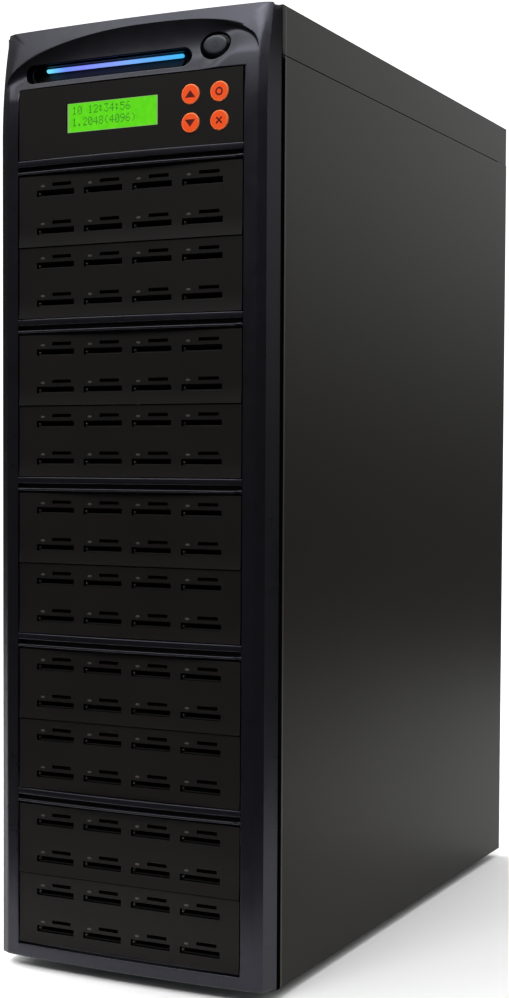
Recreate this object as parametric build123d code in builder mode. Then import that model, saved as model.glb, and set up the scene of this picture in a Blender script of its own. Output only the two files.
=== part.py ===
from build123d import *
import math
import os

# Memory card duplicator: a tall tower with a control unit at the top and five card reader groups below it.
# Millimetres. X runs to the right seen from the front, Y to the back, Z up.
# The origin is on the ground under the middle of the whole tower.
os.makedirs("parts", exist_ok=True)

# Case
case_depth = 408.0
stile = 16.9
chin_height = 34.8
sheet = 1.0
foot_height = 6.0
foot_inset = 34.0
foot_radius = 11.0
cover_skirt = 27.5
seam_gap = 0.6
seam_end = 22.0
hem_depth = 10.0
rear_flange = 14.0
flange_lift = 1.2

# Bezel, measured forward from the front of the case
bezel_reach = 18.0
bezel_shoulder_inset = 10.0
bezel_shoulder_sag = 3.1
bezel_corner_inset = 3.8
bezel_corner_sag = 5.8
bezel_flange_inset = 0.6
bezel_wall = 2.4
bezel_lift = 0.8
bezel_top_corner = 2.7
bezel_crest = 1.0
bezel_bottom_corner = 3.0
lean_over_control = 13.4
lean_radius = 260.0

# Bays: one control bay over five groups of two
bay_width = 150.2
bay_height = 42.6
divider = 8.9
groups = 5
lowest_bay = 10.1
plate_recess = 14.8
plate_thickness = 2.4
panel_gap = 0.5
groove_rise = 3.2
groove_height = 3.0
groove_depth = 2.6

# Scoop under the arch of the bezel's top
scoop_floor = 1.9
scoop_rise = 28.9
scoop_middle = 10.0
scoop_left_inset = 2.2
scoop_right_inset = 4.7
scoop_depth = 5.0

# Light slot, light bar and power button
slot_from_scoop = 15.95
slot_to_button = 5.25
slot_height = 11.0
light_rise = 9.0
bar_end = 8.25
bar_size = 3.0
button_from_scoop = 28.8
button_rise = 13.5
button_hole_x = 10.0
button_hole_z = 7.1
button_gap = 0.35
button_travel = 1.5

# Control panel
display_width = 61.3
display_height = 17.3
display_from_keys = 61.25
display_rise = 1.65
key_radius = 5.75
key_pitch_x = 18.4
key_pitch_z = 16.1
key_from_edge = 24.55
key_gap = 0.4
key_travel = 0.8

# Card stations: four columns and two rows on each plate
columns = 4
rows = 2
column_pitch = 32.7
first_row = 10.9
last_row = 9.4
card_slot_width = 26.0
card_slot_height = 3.8
small_slot_width = 13.0
small_slot_height = 2.0
small_slot_x = 4.4
small_slot_rise = 5.0
light_size = 1.3
light_from_end = 1.1
card_channel = 24.2
card_thickness = 2.4
small_channel = 11.4
small_thickness = 1.2
socket_depth = 24.0

# Plate roll along the lower edge
roll_height = 11.0
roll_reach = 0.8

# Power supply and fans
supply_width = 150.0
supply_height = 86.0
supply_depth = 140.0
supply_under_top = 16.0
fan_size = 80.0
fan_depth = 25.0
fan_bore = 38.3
fan_tip_gap = 0.9
fan_hub = 15.5
fan_pitch = 100.0
shaft_radius = 2.0
shaft_clearance = 0.06
screw_head = 1.8
screw_head_radius = 3.4
screw_radius = 1.9
screw_clearance = 0.2
screw_length = 8.0
thumb_head = 5.0
thumb_radius = 4.6
thumb_hole = 1.7
thumb_rise = 60.0
thumb_under_top = 88.0

# Places that follow from the sizes above
case_width = bay_width + 2 * stile
half_width = case_width / 2
rear_reach = sheet + thumb_head
front_y = (bezel_reach - case_depth - rear_reach) / 2
back_y = front_y + case_depth
base_z = foot_height
group_height = 2 * bay_height
group_pitch = group_height + divider
first_bay_z = base_z + lowest_bay
control_z = first_bay_z + groups * group_pitch
control_top = control_z + bay_height
top_z = control_top + chin_height
bezel_shoulder_x = half_width - bezel_shoulder_inset
bezel_corner_x = half_width - bezel_corner_inset
bezel_flange_x = half_width - bezel_flange_inset
straight_top = control_z + lean_over_control
bezel_top = top_z + bezel_crest
scoop_left = bezel_corner_x - scoop_left_inset + scoop_middle
scoop_right = bezel_corner_x - scoop_right_inset - scoop_middle
button_x = scoop_middle + scoop_right - button_from_scoop
slot_start = scoop_middle - scoop_left + slot_from_scoop
slot_end = button_x - button_hole_x - slot_to_button
slot_length = slot_end - slot_start
slot_x = (slot_start + slot_end) / 2
bar_length = slot_length - 2 * bar_end
key_x = bay_width / 2 - key_from_edge
display_x = key_x - display_from_keys
row_pitch = (bay_height - first_row - last_row) / (rows - 1)
thumb_zs = (base_z + thumb_rise, top_z - thumb_under_top)
plate_front = front_y - plate_recess
plate_back = plate_front + plate_thickness
seam_z = top_z - cover_skirt
bezel_back = front_y - seam_gap
panel_width = bay_width - 2 * panel_gap - 0.4


def facing(y):
    """The plane at depth y that looks to the front, with X to the right and Z up."""
    return Plane.XZ.offset(-y)


def finish(piece, name):
    """Labels a finished piece and writes it as its own file."""
    piece.label = name
    export_step(piece, f"parts/{name}.step")


def group_floor(group):
    """Height of the lower edge of a reader group's opening, the groups counted from the top."""
    return first_bay_z + (groups - group) * group_pitch


def plate_floor(plate):
    """Height of the lower edge of a reader plate, the plates counted from the top."""
    group = (plate + 1) // 2
    upper = plate % 2 == 1
    return group_floor(group) + (bay_height if upper else 0)


def lean(z):
    """How far the bezel's front has curved back at height z."""
    rise = max(0.0, z - straight_top)
    return lean_radius - math.sqrt(lean_radius**2 - rise**2)


def crown(x):
    """How far the bezel's front falls back from its middle at x, along the plain crowned part."""
    radius = (bezel_shoulder_x**2 + bezel_shoulder_sag**2) / (2 * bezel_shoulder_sag)
    return radius - math.sqrt(radius**2 - x**2)


def bezel_front(x, z):
    """Depth of the bezel's front surface at x and z."""
    return front_y - bezel_reach + crown(x) + lean(z)


def arch(x):
    """Height of the arch's edge over the scoop floor: an ellipse on the left, squarer on the right."""
    if x < scoop_middle:
        return scoop_rise * math.sqrt(1 - ((scoop_middle - x) / scoop_left) ** 2)
    return scoop_rise * (1 - ((x - scoop_middle) / scoop_right) ** 3) ** (1 / 3)


def bezel_outline(z):
    """Level outline of the bezel: a crowned front, shoulders that turn back, and tapering flanges."""
    front = front_y - bezel_reach + lean(z)
    with BuildSketch(Plane.XY) as outline:
        with BuildLine():
            bow = ThreePointArc(
                (-bezel_shoulder_x, front + bezel_shoulder_sag),
                (0, front),
                (bezel_shoulder_x, front + bezel_shoulder_sag),
            )
            Polyline(
                bow @ 1,
                (bezel_corner_x, front + bezel_corner_sag),
                (bezel_flange_x, bezel_back),
                (-bezel_flange_x, bezel_back),
                (-bezel_corner_x, front + bezel_corner_sag),
                bow @ 0,
            )
        make_face()
    return outline.sketch


# Front bezel: a crowned moulding that leans back at the top, with a scoop, six windows and grooved dividers
bezel_bottom = base_z + bezel_lift
lean_levels = [straight_top + (bezel_top - straight_top) * step / 4 for step in range(5)]
window_floors = [group_floor(group) for group in range(1, groups + 1)]
scoop_z = control_top + scoop_floor
light_z = control_top + light_rise
button_z = control_top + button_rise
channel_front = bezel_back - 10.4
channel_top = control_z
pocket_front = bezel_back - 8.4
rib = 1.7
scoop_stations = [scoop_middle - scoop_left * share for share in (0.99, 0.85, 0.6, 0.3)]
scoop_stations += [scoop_middle + scoop_right * share for share in (0, 0.4, 0.7, 0.88, 0.985)]

with BuildPart() as front_bezel:
    with BuildSketch(Plane.XY.offset(bezel_bottom)):
        add(bezel_outline(bezel_bottom))
    extrude(amount=straight_top - bezel_bottom)
    for level in lean_levels:
        with BuildSketch(Plane.XY.offset(level)):
            add(bezel_outline(level))
    loft()
    with BuildSketch(facing(bezel_back + 1)) as front_view:
        with Locations((0, (bezel_top + bezel_bottom) / 2)):
            Rectangle(2 * bezel_flange_x, bezel_top - bezel_bottom)
        corners = front_view.vertices().group_by(Axis.Y)
        fillet(corners[-1], bezel_top_corner)
        fillet(front_view.vertices().group_by(Axis.Y)[0], bezel_bottom_corner)
    extrude(amount=bezel_reach + 3, mode=Mode.INTERSECT)
    # the top slopes down from its front edge to the height of the cover
    with BuildSketch(Plane.YZ):
        with BuildLine():
            Polyline(
                (front_y, top_z),
                (bezel_front(0, bezel_top), bezel_top),
                (front_y, bezel_top),
                close=True,
            )
        make_face()
    extrude(amount=half_width, both=True, mode=Mode.SUBTRACT)
    # the scoop, a trough whose upper edge is the arch
    for x in scoop_stations:
        arch_z = scoop_z + arch(x)
        edge_y = bezel_front(x, arch_z)
        floor_y = bezel_front(x, scoop_z)
        deep = scoop_depth * arch(x) / scoop_rise
        outside = front_y - bezel_reach - 4
        with BuildSketch(Plane.YZ.offset(x)):
            with BuildLine():
                trough = ThreePointArc(
                    (edge_y, arch_z),
                    ((edge_y + floor_y) / 2 + deep, (arch_z + scoop_z) / 2),
                    (floor_y, scoop_z),
                )
                Polyline(trough @ 1, (outside, scoop_z), (outside, arch_z), trough @ 0)
            make_face()
    loft(mode=Mode.SUBTRACT)
    # the stadium slot of the light and the oval hole of the power button
    with BuildSketch(facing(front_y)):
        with Locations((slot_x, light_z)):
            SlotOverall(slot_length, slot_height)
        with Locations((button_x, button_z)):
            Ellipse(button_hole_x, button_hole_z)
    extrude(amount=bezel_reach + 3, mode=Mode.SUBTRACT)
    # windows of the control bay and of the reader groups
    with BuildSketch(facing(front_y)):
        with Locations((0, control_z + bay_height / 2)):
            Rectangle(bay_width, bay_height)
        with Locations([(0, floor + group_height / 2) for floor in window_floors]):
            Rectangle(bay_width, group_height)
    extrude(amount=bezel_reach + 3, mode=Mode.SUBTRACT)
    # one groove along the face of each divider, parallel to the crown
    for floor in window_floors:
        groove_z = floor + group_height + groove_rise
        with BuildSketch(Plane.XY.offset(groove_z)):
            with BuildLine():
                bed = ThreePointArc(
                    (-bay_width / 2, bezel_front(bay_width / 2, 0) + groove_depth),
                    (0, bezel_front(0, 0) + groove_depth),
                    (bay_width / 2, bezel_front(bay_width / 2, 0) + groove_depth),
                )
                Polyline(
                    bed @ 1,
                    (bay_width / 2, front_y - bezel_reach - 1),
                    (-bay_width / 2, front_y - bezel_reach - 1),
                    bed @ 0,
                )
            make_face()
        extrude(amount=groove_height, mode=Mode.SUBTRACT)
    # hollows open to the back: a channel down each stile and a pocket behind each divider
    for side in (-1, 1):
        with BuildSketch(Plane.XY.offset(bezel_bottom + bezel_wall)):
            with BuildLine():
                Polyline(
                    (side * (bay_width / 2 + rib), front_y),
                    (side * (bay_width / 2 + rib), channel_front),
                    (side * (bezel_corner_x - bezel_wall), channel_front + 1.5),
                    (side * (bezel_flange_x - bezel_wall), front_y),
                    close=True,
                )
            make_face()
        extrude(amount=channel_top - bezel_bottom - bezel_wall, mode=Mode.SUBTRACT)
    with BuildSketch(facing(front_y)):
        for floor in window_floors:
            with Locations((0, floor + group_height + divider / 2)):
                Rectangle(bay_width - 2 * rib, divider - 2 * rib)
    extrude(amount=front_y - pocket_front, mode=Mode.SUBTRACT)
finish(front_bezel.part, "front_bezel")

# Light tray: a smoked lining of the slot whose floor ramps up to the bar at its back
tray_gap = 1.0
tray_depth = 6.4
tray_wall = 0.8
bar_gap = 1.2
tray_back = front_y - tray_gap
tray_front = tray_back - tray_depth
bar_back = tray_back - bar_gap
bar_z = light_z + slot_height / 2 - tray_wall - 0.2 - bar_size / 2
with BuildPart() as light_tray:
    with BuildSketch(facing(tray_back)):
        with Locations((slot_x, light_z)):
            SlotOverall(slot_length - 0.3, slot_height - 0.3)
    extrude(amount=tray_back - tray_front)
    with BuildSketch(facing(bar_back)):
        with Locations((slot_x, light_z)):
            SlotOverall(slot_length - 0.3 - 2 * tray_wall, slot_height - 0.3 - 2 * tray_wall)
    extrude(amount=bezel_reach, mode=Mode.SUBTRACT)
    with BuildSketch(Plane.YZ.offset(slot_x)):
        with BuildLine():
            Polyline(
                (bar_back, light_z - slot_height / 2 + tray_wall),
                (tray_front, light_z - slot_height / 2 + tray_wall),
                (bar_back, bar_z - bar_size / 2 - 0.2),
                close=True,
            )
        make_face()
    extrude(amount=bar_length / 2, both=True)
finish(light_tray.part, "light_tray")

with BuildPart() as light_bar:
    with Locations((slot_x, bar_back - bar_size / 2, bar_z)):
        Box(bar_length, bar_size, bar_size)
    fillet(light_bar.faces().sort_by(Axis.Y)[0].edges(), 0.45 * bar_size)
finish(light_bar.part, "light_bar")

with BuildPart() as light_board:
    with Locations((slot_x, tray_back, light_z)):
        Box(bar_length + 6, 1.6, slot_height - 2, align=(Align.CENTER, Align.MIN, Align.CENTER))
finish(light_board.part, "light_board")

# Power button: an oval crowned cap with a flange behind the bezel and a stem in the switch
cap_x = button_hole_x - button_gap
cap_z = button_hole_z - button_gap
cap_reach = 11.0
cap_crown = 2.4
cap_face = front_y - cap_reach
cap_shoulder = cap_face + cap_crown
flange_front = bezel_back + 0.1
flange_back = flange_front + 1.2
flange_margin = 2.4
button_stem = 4.4
stem_gap = 0.08
switch_front = front_y + 0.3 + sheet
switch_bed = flange_back + button_travel + 0.4
stem_end = switch_bed + 1.5
switch_margin = 5.0
switch_plate = 4.0
switch_body = 14.0
switch_depth = 12.0
with BuildPart() as power_button:
    with BuildSketch(facing(flange_front)):
        with Locations((button_x, button_z)):
            Ellipse(cap_x, cap_z)
    extrude(amount=flange_front - cap_shoulder)
    for depth, share in ((cap_shoulder, 1.0), (cap_face, 0.76)):
        with BuildSketch(facing(depth)):
            with Locations((button_x, button_z)):
                Ellipse(cap_x * share, cap_z * share)
    loft(ruled=True)
    with BuildSketch(facing(flange_back)):
        with Locations((button_x, button_z)):
            Rectangle(2 * button_hole_x + flange_margin, 2 * button_hole_z + flange_margin)
    extrude(amount=flange_back - flange_front)
    with BuildSketch(facing(stem_end)):
        with Locations((button_x, button_z)):
            Rectangle(button_stem, button_stem)
    extrude(amount=stem_end - flange_back)
finish(power_button.part, "power_button")

with BuildPart() as power_switch:
    with BuildSketch(facing(switch_front)):
        with Locations((button_x, button_z)):
            Rectangle(2 * (button_hole_x + switch_margin), 2 * button_hole_z + switch_margin + 3)
    extrude(amount=-switch_plate)
    with BuildSketch(facing(switch_front + switch_plate)):
        with Locations((button_x, button_z)):
            Rectangle(switch_body, switch_body)
    extrude(amount=switch_plate - switch_depth)
    with BuildSketch(facing(switch_bed)):
        with Locations((button_x, button_z)):
            Rectangle(2 * button_hole_x + 2 * flange_margin, 2 * button_hole_z + flange_margin + 1)
    extrude(amount=switch_bed - switch_front + 1, mode=Mode.SUBTRACT)
    with BuildSketch(facing(stem_end + button_travel + 0.5)):
        with Locations((button_x, button_z)):
            Rectangle(button_stem + 2 * stem_gap, button_stem + 2 * stem_gap)
    extrude(amount=stem_end + button_travel + 0.5 - switch_bed, mode=Mode.SUBTRACT)
finish(power_switch.part, "power_switch")

# Control panel with its display window, key holes and the posts of the key board
control_middle = control_z + bay_height / 2
display_z = control_middle + display_rise
key_places = {
    "up_key": (key_x - key_pitch_x / 2, control_middle + key_pitch_z / 2),
    "enter_key": (key_x + key_pitch_x / 2, control_middle + key_pitch_z / 2),
    "down_key": (key_x - key_pitch_x / 2, control_middle - key_pitch_z / 2),
    "escape_key": (key_x + key_pitch_x / 2, control_middle - key_pitch_z / 2),
}
key_board_depth = 9.6
key_proud = 0.7
post_margin = 2.4
key_board_front = plate_back + key_board_depth
key_flange = plate_back + 0.1
key_flange_back = key_flange + 1.2
key_switch_front = key_board_front - 3.4
key_switch_size = 7.0
board = 1.6
key_stem = 3.0
key_flange_margin = 1.2
post_radius = 1.9
key_stem_end = key_switch_front + 1.0
post_x = key_pitch_x / 2 + key_radius + key_flange_margin + post_radius + 0.4
post_z = bay_height / 2 - post_radius - post_margin
key_board_width = 2 * (post_x + post_radius)
post_places = [(key_x + dx, control_middle + dz) for dx in (-post_x, post_x) for dz in (-post_z, post_z)]

with BuildPart() as control_panel:
    with BuildSketch(facing(plate_back)):
        with Locations((0, control_middle)):
            Rectangle(panel_width, bay_height - 2 * panel_gap)
        with Locations((display_x, display_z)):
            Rectangle(display_width, display_height, mode=Mode.SUBTRACT)
        with Locations(list(key_places.values())):
            Circle(key_radius + key_gap, mode=Mode.SUBTRACT)
    extrude(amount=plate_thickness)
    with BuildSketch(facing(key_board_front)):
        with Locations(post_places):
            RegularPolygon(post_radius, 8)
    extrude(amount=key_board_front - plate_back)
finish(control_panel.part, "control_panel")

with BuildPart() as lcd_window:
    with BuildSketch(facing(plate_back)):
        with Locations((display_x, display_z)):
            Rectangle(display_width - 0.3, display_height - 0.3)
    extrude(amount=plate_thickness - 1.0)
finish(lcd_window.part, "lcd_window")

lcd_depth = 8.6
lcd_margin = 8.0
with BuildPart() as lcd_module:
    with BuildSketch(facing(plate_back + lcd_depth)):
        with Locations((display_x, display_z - 1)):
            Rectangle(display_width + 2 * lcd_margin, 2 * display_height)
    extrude(amount=lcd_depth)
    with BuildSketch(facing(plate_back + lcd_depth + board)):
        with Locations((display_x, control_middle)):
            Rectangle(display_width + 2 * (lcd_margin + 1), bay_height - 6)
    extrude(amount=board)
finish(lcd_module.part, "lcd_module")

for name, place in key_places.items():
    with BuildPart() as key:
        with BuildSketch(facing(key_flange)):
            with Locations(place):
                Circle(key_radius)
        extrude(amount=key_flange - plate_front + key_proud)
        chamfer(key.faces().sort_by(Axis.Y)[0].edges(), 0.5)
        with BuildSketch(facing(key_flange_back)):
            with Locations(place):
                Rectangle(2 * (key_radius + key_flange_margin), 2 * (key_radius + key_flange_margin))
        extrude(amount=key_flange_back - key_flange)
        with BuildSketch(facing(key_stem_end)):
            with Locations(place):
                Rectangle(key_stem, key_stem)
        extrude(amount=key_stem_end - key_flange_back)
    finish(key.part, name)

with BuildPart() as key_switches:
    with BuildSketch(facing(key_board_front)):
        with Locations(list(key_places.values())):
            Rectangle(key_switch_size, key_switch_size)
    extrude(amount=key_board_front - key_switch_front)
    with BuildSketch(facing(key_stem_end + key_travel + 0.4)):
        with Locations(list(key_places.values())):
            Rectangle(key_stem + 2 * stem_gap, key_stem + 2 * stem_gap)
    extrude(amount=5, mode=Mode.SUBTRACT)
finish(key_switches.part, "key_switches")

with BuildPart() as key_board:
    with BuildSketch(facing(key_board_front)):
        with Locations((key_x, control_middle)):
            Rectangle(key_board_width, bay_height - 4)
    extrude(amount=-board)
finish(key_board.part, "key_board")


# Sleds: sheet steel channels that carry the boards of a bay and butt against the back of its plate
sled_half = bay_width / 2 - 0.5
sled_depth = 122.0


def draw_channel(floor, height):
    """Cross-section of a sled: a floor with an upright wall at each side."""
    with Locations((0, floor + sheet / 2)):
        Rectangle(2 * sled_half, sheet)
    with Locations((-sled_half + sheet / 2, floor + height / 2), (sled_half - sheet / 2, floor + height / 2)):
        Rectangle(sheet, height)


board_half = sled_half - sheet - 0.4
stand_off = 4.0
stand_off_inset = 7.0
stand_off_radius = 2.8
control_board_depth = 92.0
reader_board_depth = 70.0
chip_size = 26.0
chip_height = 4.0
control_board_front = front_y + 2
with BuildPart() as control_sled:
    with BuildSketch(facing(plate_back)):
        draw_channel(control_z + panel_gap, bay_height - 2 * panel_gap)
    extrude(amount=-sled_depth)
    with BuildSketch(Plane.XY.offset(control_z + panel_gap + sheet)):
        with Locations((0, control_board_front + control_board_depth / 2)):
            with GridLocations(2 * (board_half - stand_off_inset), control_board_depth - 2 * stand_off_inset, 2, 2):
                RegularPolygon(stand_off_radius, 6)
    extrude(amount=stand_off)
finish(control_sled.part, "control_sled")

with BuildPart() as control_board:
    board_z = control_z + panel_gap + sheet + stand_off
    with Locations((0, control_board_front, board_z)):
        Box(2 * board_half, control_board_depth, board, align=(Align.CENTER, Align.MIN, Align.MIN))
    chip_y = control_board_front + control_board_depth / 2
    with Locations((-chip_size, chip_y, board_z + board), (chip_size, chip_y, board_z + board)):
        Box(chip_size, chip_size, chip_height, align=(Align.CENTER, Align.CENTER, Align.MIN))
finish(control_board.part, "control_board")

# Reader plates: thin mouldings that roll forward along the lower edge, slotted for two card sizes
column_xs = [(column - (columns - 1) / 2) * column_pitch for column in range(columns)]


def station_heights(plate):
    """Heights of the card slots of a plate, the upper row first."""
    top = plate_floor(plate) + bay_height
    return [top - first_row - row * row_pitch for row in range(rows)]


def stations(plate):
    """Places of a plate's card slots seen from the front, as pairs of X and Z."""
    return [(x, z) for z in station_heights(plate) for x in column_xs]


for plate in range(1, 2 * groups + 1):
    low = plate_floor(plate) + (panel_gap if plate % 2 == 0 else panel_gap / 2)
    high = plate_floor(plate) + bay_height - (panel_gap if plate % 2 == 1 else panel_gap / 2)
    with BuildPart() as reader_panel:
        with BuildSketch(Plane.YZ):
            with BuildLine():
                Polyline(
                    (plate_front, low + roll_height),
                    (plate_front, high),
                    (plate_back, high),
                    (plate_back, low),
                    (plate_front - roll_reach, low),
                )
                ThreePointArc(
                    (plate_front - roll_reach, low),
                    (plate_front - roll_reach / 4, low + roll_height / 2),
                    (plate_front, low + roll_height),
                )
            make_face()
        extrude(amount=panel_width / 2, both=True)
        with BuildSketch(facing(plate_back)):
            for x, z in stations(plate):
                with Locations((x, z)):
                    Rectangle(card_slot_width, card_slot_height)
                with Locations((x + small_slot_x, z + small_slot_rise)):
                    Rectangle(small_slot_width, small_slot_height)
        extrude(amount=plate_thickness + 2, mode=Mode.SUBTRACT)
    finish(reader_panel.part, f"reader_panel_{plate:02d}")

# Behind each plate: sockets on level boards, held in the sled of their group
socket_width = card_slot_width + 2.4
socket_under = 2.8
socket_top = small_slot_rise + 2.2
card_x = (card_slot_width - card_channel) / 2
with BuildPart() as status_lights:
    for plate in range(1, 2 * groups + 1):
        with Locations([(x - card_slot_width / 2 + light_from_end, plate_back, z) for x, z in stations(plate)]):
            Box(light_size, light_size, light_size, align=(Align.CENTER, Align.MAX, Align.CENTER))
finish(status_lights.part, "status_lights")

for group in range(1, groups + 1):
    places = stations(2 * group - 1) + stations(2 * group)
    with BuildPart() as card_sockets:
        with Locations([(x, plate_back, z - socket_under) for x, z in places]):
            Box(
                socket_width,
                socket_depth,
                socket_under + socket_top,
                align=(Align.CENTER, Align.MIN, Align.MIN),
            )
        with Locations([(x + card_x, plate_back, z) for x, z in places]):
            Box(
                card_channel,
                socket_depth - 4,
                card_thickness,
                align=(Align.CENTER, Align.MIN, Align.CENTER),
                mode=Mode.SUBTRACT,
            )
        with Locations([(x + small_slot_x, plate_back, z + small_slot_rise) for x, z in places]):
            Box(
                small_channel,
                socket_depth / 2,
                small_thickness,
                align=(Align.CENTER, Align.MIN, Align.CENTER),
                mode=Mode.SUBTRACT,
            )
    finish(card_sockets.part, f"card_sockets_{group}")

    with BuildPart() as reader_boards:
        for z in station_heights(2 * group - 1) + station_heights(2 * group):
            with Locations((0, plate_back, z - socket_under)):
                Box(2 * board_half, reader_board_depth, board, align=(Align.CENTER, Align.MIN, Align.MAX))
    finish(reader_boards.part, f"reader_boards_{group}")

    with BuildPart() as reader_sled:
        with BuildSketch(facing(plate_back)):
            draw_channel(group_floor(group) + panel_gap, group_height - 2 * panel_gap)
        extrude(amount=-sled_depth)
    finish(reader_sled.part, f"reader_sled_{group}")

# Case: folded sheet round an open inside
pan_z = base_z + flange_lift
pan_half = half_width - 2.4 * sheet
pan_wall = 18.0
frame_y = front_y + 0.3
bay_top = control_top + 2
with BuildPart() as base_pan:
    with BuildSketch(facing(frame_y)):
        with Locations((0, pan_z + sheet / 2)):
            Rectangle(2 * pan_half, sheet)
        for x in (sheet / 2 - pan_half, pan_half - sheet / 2):
            with Locations((x, pan_z + pan_wall / 2)):
                Rectangle(sheet, pan_wall)
    extrude(amount=-(back_y - sheet - frame_y))
finish(base_pan.part, "base_pan")

frame_half = pan_half - sheet - 0.1
with BuildPart() as front_frame:
    with BuildSketch(facing(frame_y + sheet)):
        with Locations((0, (pan_z + sheet + top_z - sheet) / 2)):
            Rectangle(2 * frame_half, top_z - sheet - pan_z - sheet - 0.2)
        with Locations((0, (pan_z + sheet + 4 + bay_top) / 2)):
            Rectangle(bay_width + 3, bay_top - pan_z - sheet - 4, mode=Mode.SUBTRACT)
        with Locations((slot_x, light_z)):
            Rectangle(bar_length + 8, slot_height, mode=Mode.SUBTRACT)
        with Locations((button_x, button_z)):
            Rectangle(2 * (button_hole_x + flange_margin), 2 * (button_hole_z + flange_margin), mode=Mode.SUBTRACT)
    extrude(amount=sheet)
finish(front_frame.part, "front_frame")

wall_foot = 10.0
with BuildPart() as bay_walls:
    for side in (-1, 1):
        with BuildSketch(facing(frame_y + sheet + 0.1)):
            with Locations((side * (bay_width / 2 + sheet / 2 + 0.2), (pan_z + sheet + bay_top) / 2)):
                Rectangle(sheet, bay_top - pan_z - sheet)
            with Locations((side * (bay_width / 2 + wall_foot / 2 + 0.2), pan_z + 1.5 * sheet)):
                Rectangle(wall_foot, sheet)
        extrude(amount=-(sled_depth + wall_foot))
finish(bay_walls.part, "bay_walls")

thumb_x = half_width - rear_flange / 2
side_lip = 9.0
for side, name in ((-1, "left_side_panel"), (1, "right_side_panel")):
    with BuildPart() as side_panel:
        with BuildSketch(Plane.XY.offset(base_z)):
            with BuildLine():
                Polyline(
                    (side * half_width, front_y),
                    (side * half_width, back_y + sheet),
                    (side * (half_width - rear_flange), back_y + sheet),
                    (side * (half_width - rear_flange), back_y),
                    (side * (half_width - sheet), back_y),
                    (side * (half_width - sheet), front_y + hem_depth),
                    (side * (half_width - 1.9 * sheet), front_y + hem_depth),
                    (side * (half_width - 1.9 * sheet), front_y),
                    close=True,
                )
            make_face()
        extrude(amount=seam_z - seam_gap - base_z)
        with Locations((side * (half_width - sheet / 2), back_y + sheet, seam_z - seam_gap)):
            Box(sheet, seam_end, seam_gap - 0.05, align=(Align.CENTER, Align.MAX, Align.MIN))
        with Locations((side * (half_width - sheet), (front_y + hem_depth + back_y) / 2, base_z)):
            Box(
                side_lip,
                case_depth - hem_depth - 4,
                sheet,
                align=(Align.MAX if side > 0 else Align.MIN, Align.CENTER, Align.MIN),
            )
        with BuildSketch(facing(back_y + sheet)):
            with Locations([(side * thumb_x, z) for z in thumb_zs]):
                RegularPolygon(thumb_hole, 6)
        extrude(amount=sheet, mode=Mode.SUBTRACT)
    finish(side_panel.part, name)

with BuildPart() as top_cover:
    with BuildSketch(facing(front_y)):
        with Locations((0, top_z - sheet / 2)):
            Rectangle(case_width, sheet)
        for side in (-1, 1):
            with Locations((side * (half_width - sheet / 2), top_z - cover_skirt / 2)):
                Rectangle(sheet, cover_skirt)
    extrude(amount=-case_depth)
finish(top_cover.part, "top_cover")

# Rear panel with the supply window, stamped fan grilles and a row of vents
supply_top = top_z - supply_under_top
supply_z = supply_top - supply_height / 2
supply_back = back_y - sheet
fan_x = -10.0
fan_under_supply = 62.0
vent_width = 5.0
vent_height = 50.0
vent_pitch = 12.0
vents = 9
upper_fan_z = supply_top - supply_height - fan_under_supply
fan_places = [(fan_x, upper_fan_z), (fan_x, upper_fan_z - fan_pitch)]
grille_reach = 36.0
grille_slot = 4.4
grille_pitch = 8.0


def draw_grille(place):
    """A round field of straight slots, each as long as the circle is wide there, with a bar down the middle."""
    x, z = place
    for step in range(-4, 5):
        rise = step * grille_pitch
        corner = abs(rise) + grille_slot / 2
        with Locations((x, z + rise)):
            Rectangle(2 * math.sqrt(grille_reach**2 - corner**2), grille_slot)
    with Locations((x, z)):
        Rectangle(grille_slot, 2 * grille_reach, mode=Mode.SUBTRACT)


def square_of(reach_x, reach_z, place):
    """The four corners of a rectangle round a place."""
    return [(place[0] + dx * reach_x, place[1] + dz * reach_z) for dx in (-1, 1) for dz in (-1, 1)]


fan_screw_reach = 35.75
window_margin = 7.0
supply_screws = square_of((supply_width - window_margin) / 2, (supply_height - window_margin) / 2, (0, supply_z))
fan_screws = [corner for place in fan_places for corner in square_of(fan_screw_reach, fan_screw_reach, place)]
with BuildPart() as rear_panel:
    with BuildSketch(facing(back_y)):
        with Locations((0, (pan_z + sheet + top_z - sheet) / 2)):
            Rectangle(2 * frame_half, top_z - sheet - pan_z - sheet - 0.2)
        with Locations((0, supply_z)):
            Rectangle(supply_width - 2 * window_margin, supply_height - 2 * window_margin, mode=Mode.SUBTRACT)
        with Locations((0, base_z + thumb_rise)):
            with GridLocations(vent_pitch, 0, vents, 1):
                Rectangle(vent_width, vent_height, mode=Mode.SUBTRACT)
        with Locations([(side * thumb_x, z) for side in (-1, 1) for z in thumb_zs]):
            RegularPolygon(thumb_hole, 6, mode=Mode.SUBTRACT)
        with Locations(supply_screws + fan_screws):
            RegularPolygon(screw_radius + screw_clearance, 6, mode=Mode.SUBTRACT)
    extrude(amount=sheet)
    for place in fan_places:
        with BuildSketch(facing(back_y)):
            draw_grille(place)
        extrude(amount=sheet, mode=Mode.SUBTRACT)
finish(rear_panel.part, "rear_panel")

# Fans: a hub with seven swept blades on a shaft that runs in the boss of its frame
blades = 7
boss_depth = 4.0
rotor_depth = 15.0
blade_tip = fan_bore - fan_tip_gap
hub_sides = 28
strut = 3.4
blade_chord = 20.0
blade_thickness = 1.4
blade_pitch = 38.0


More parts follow.
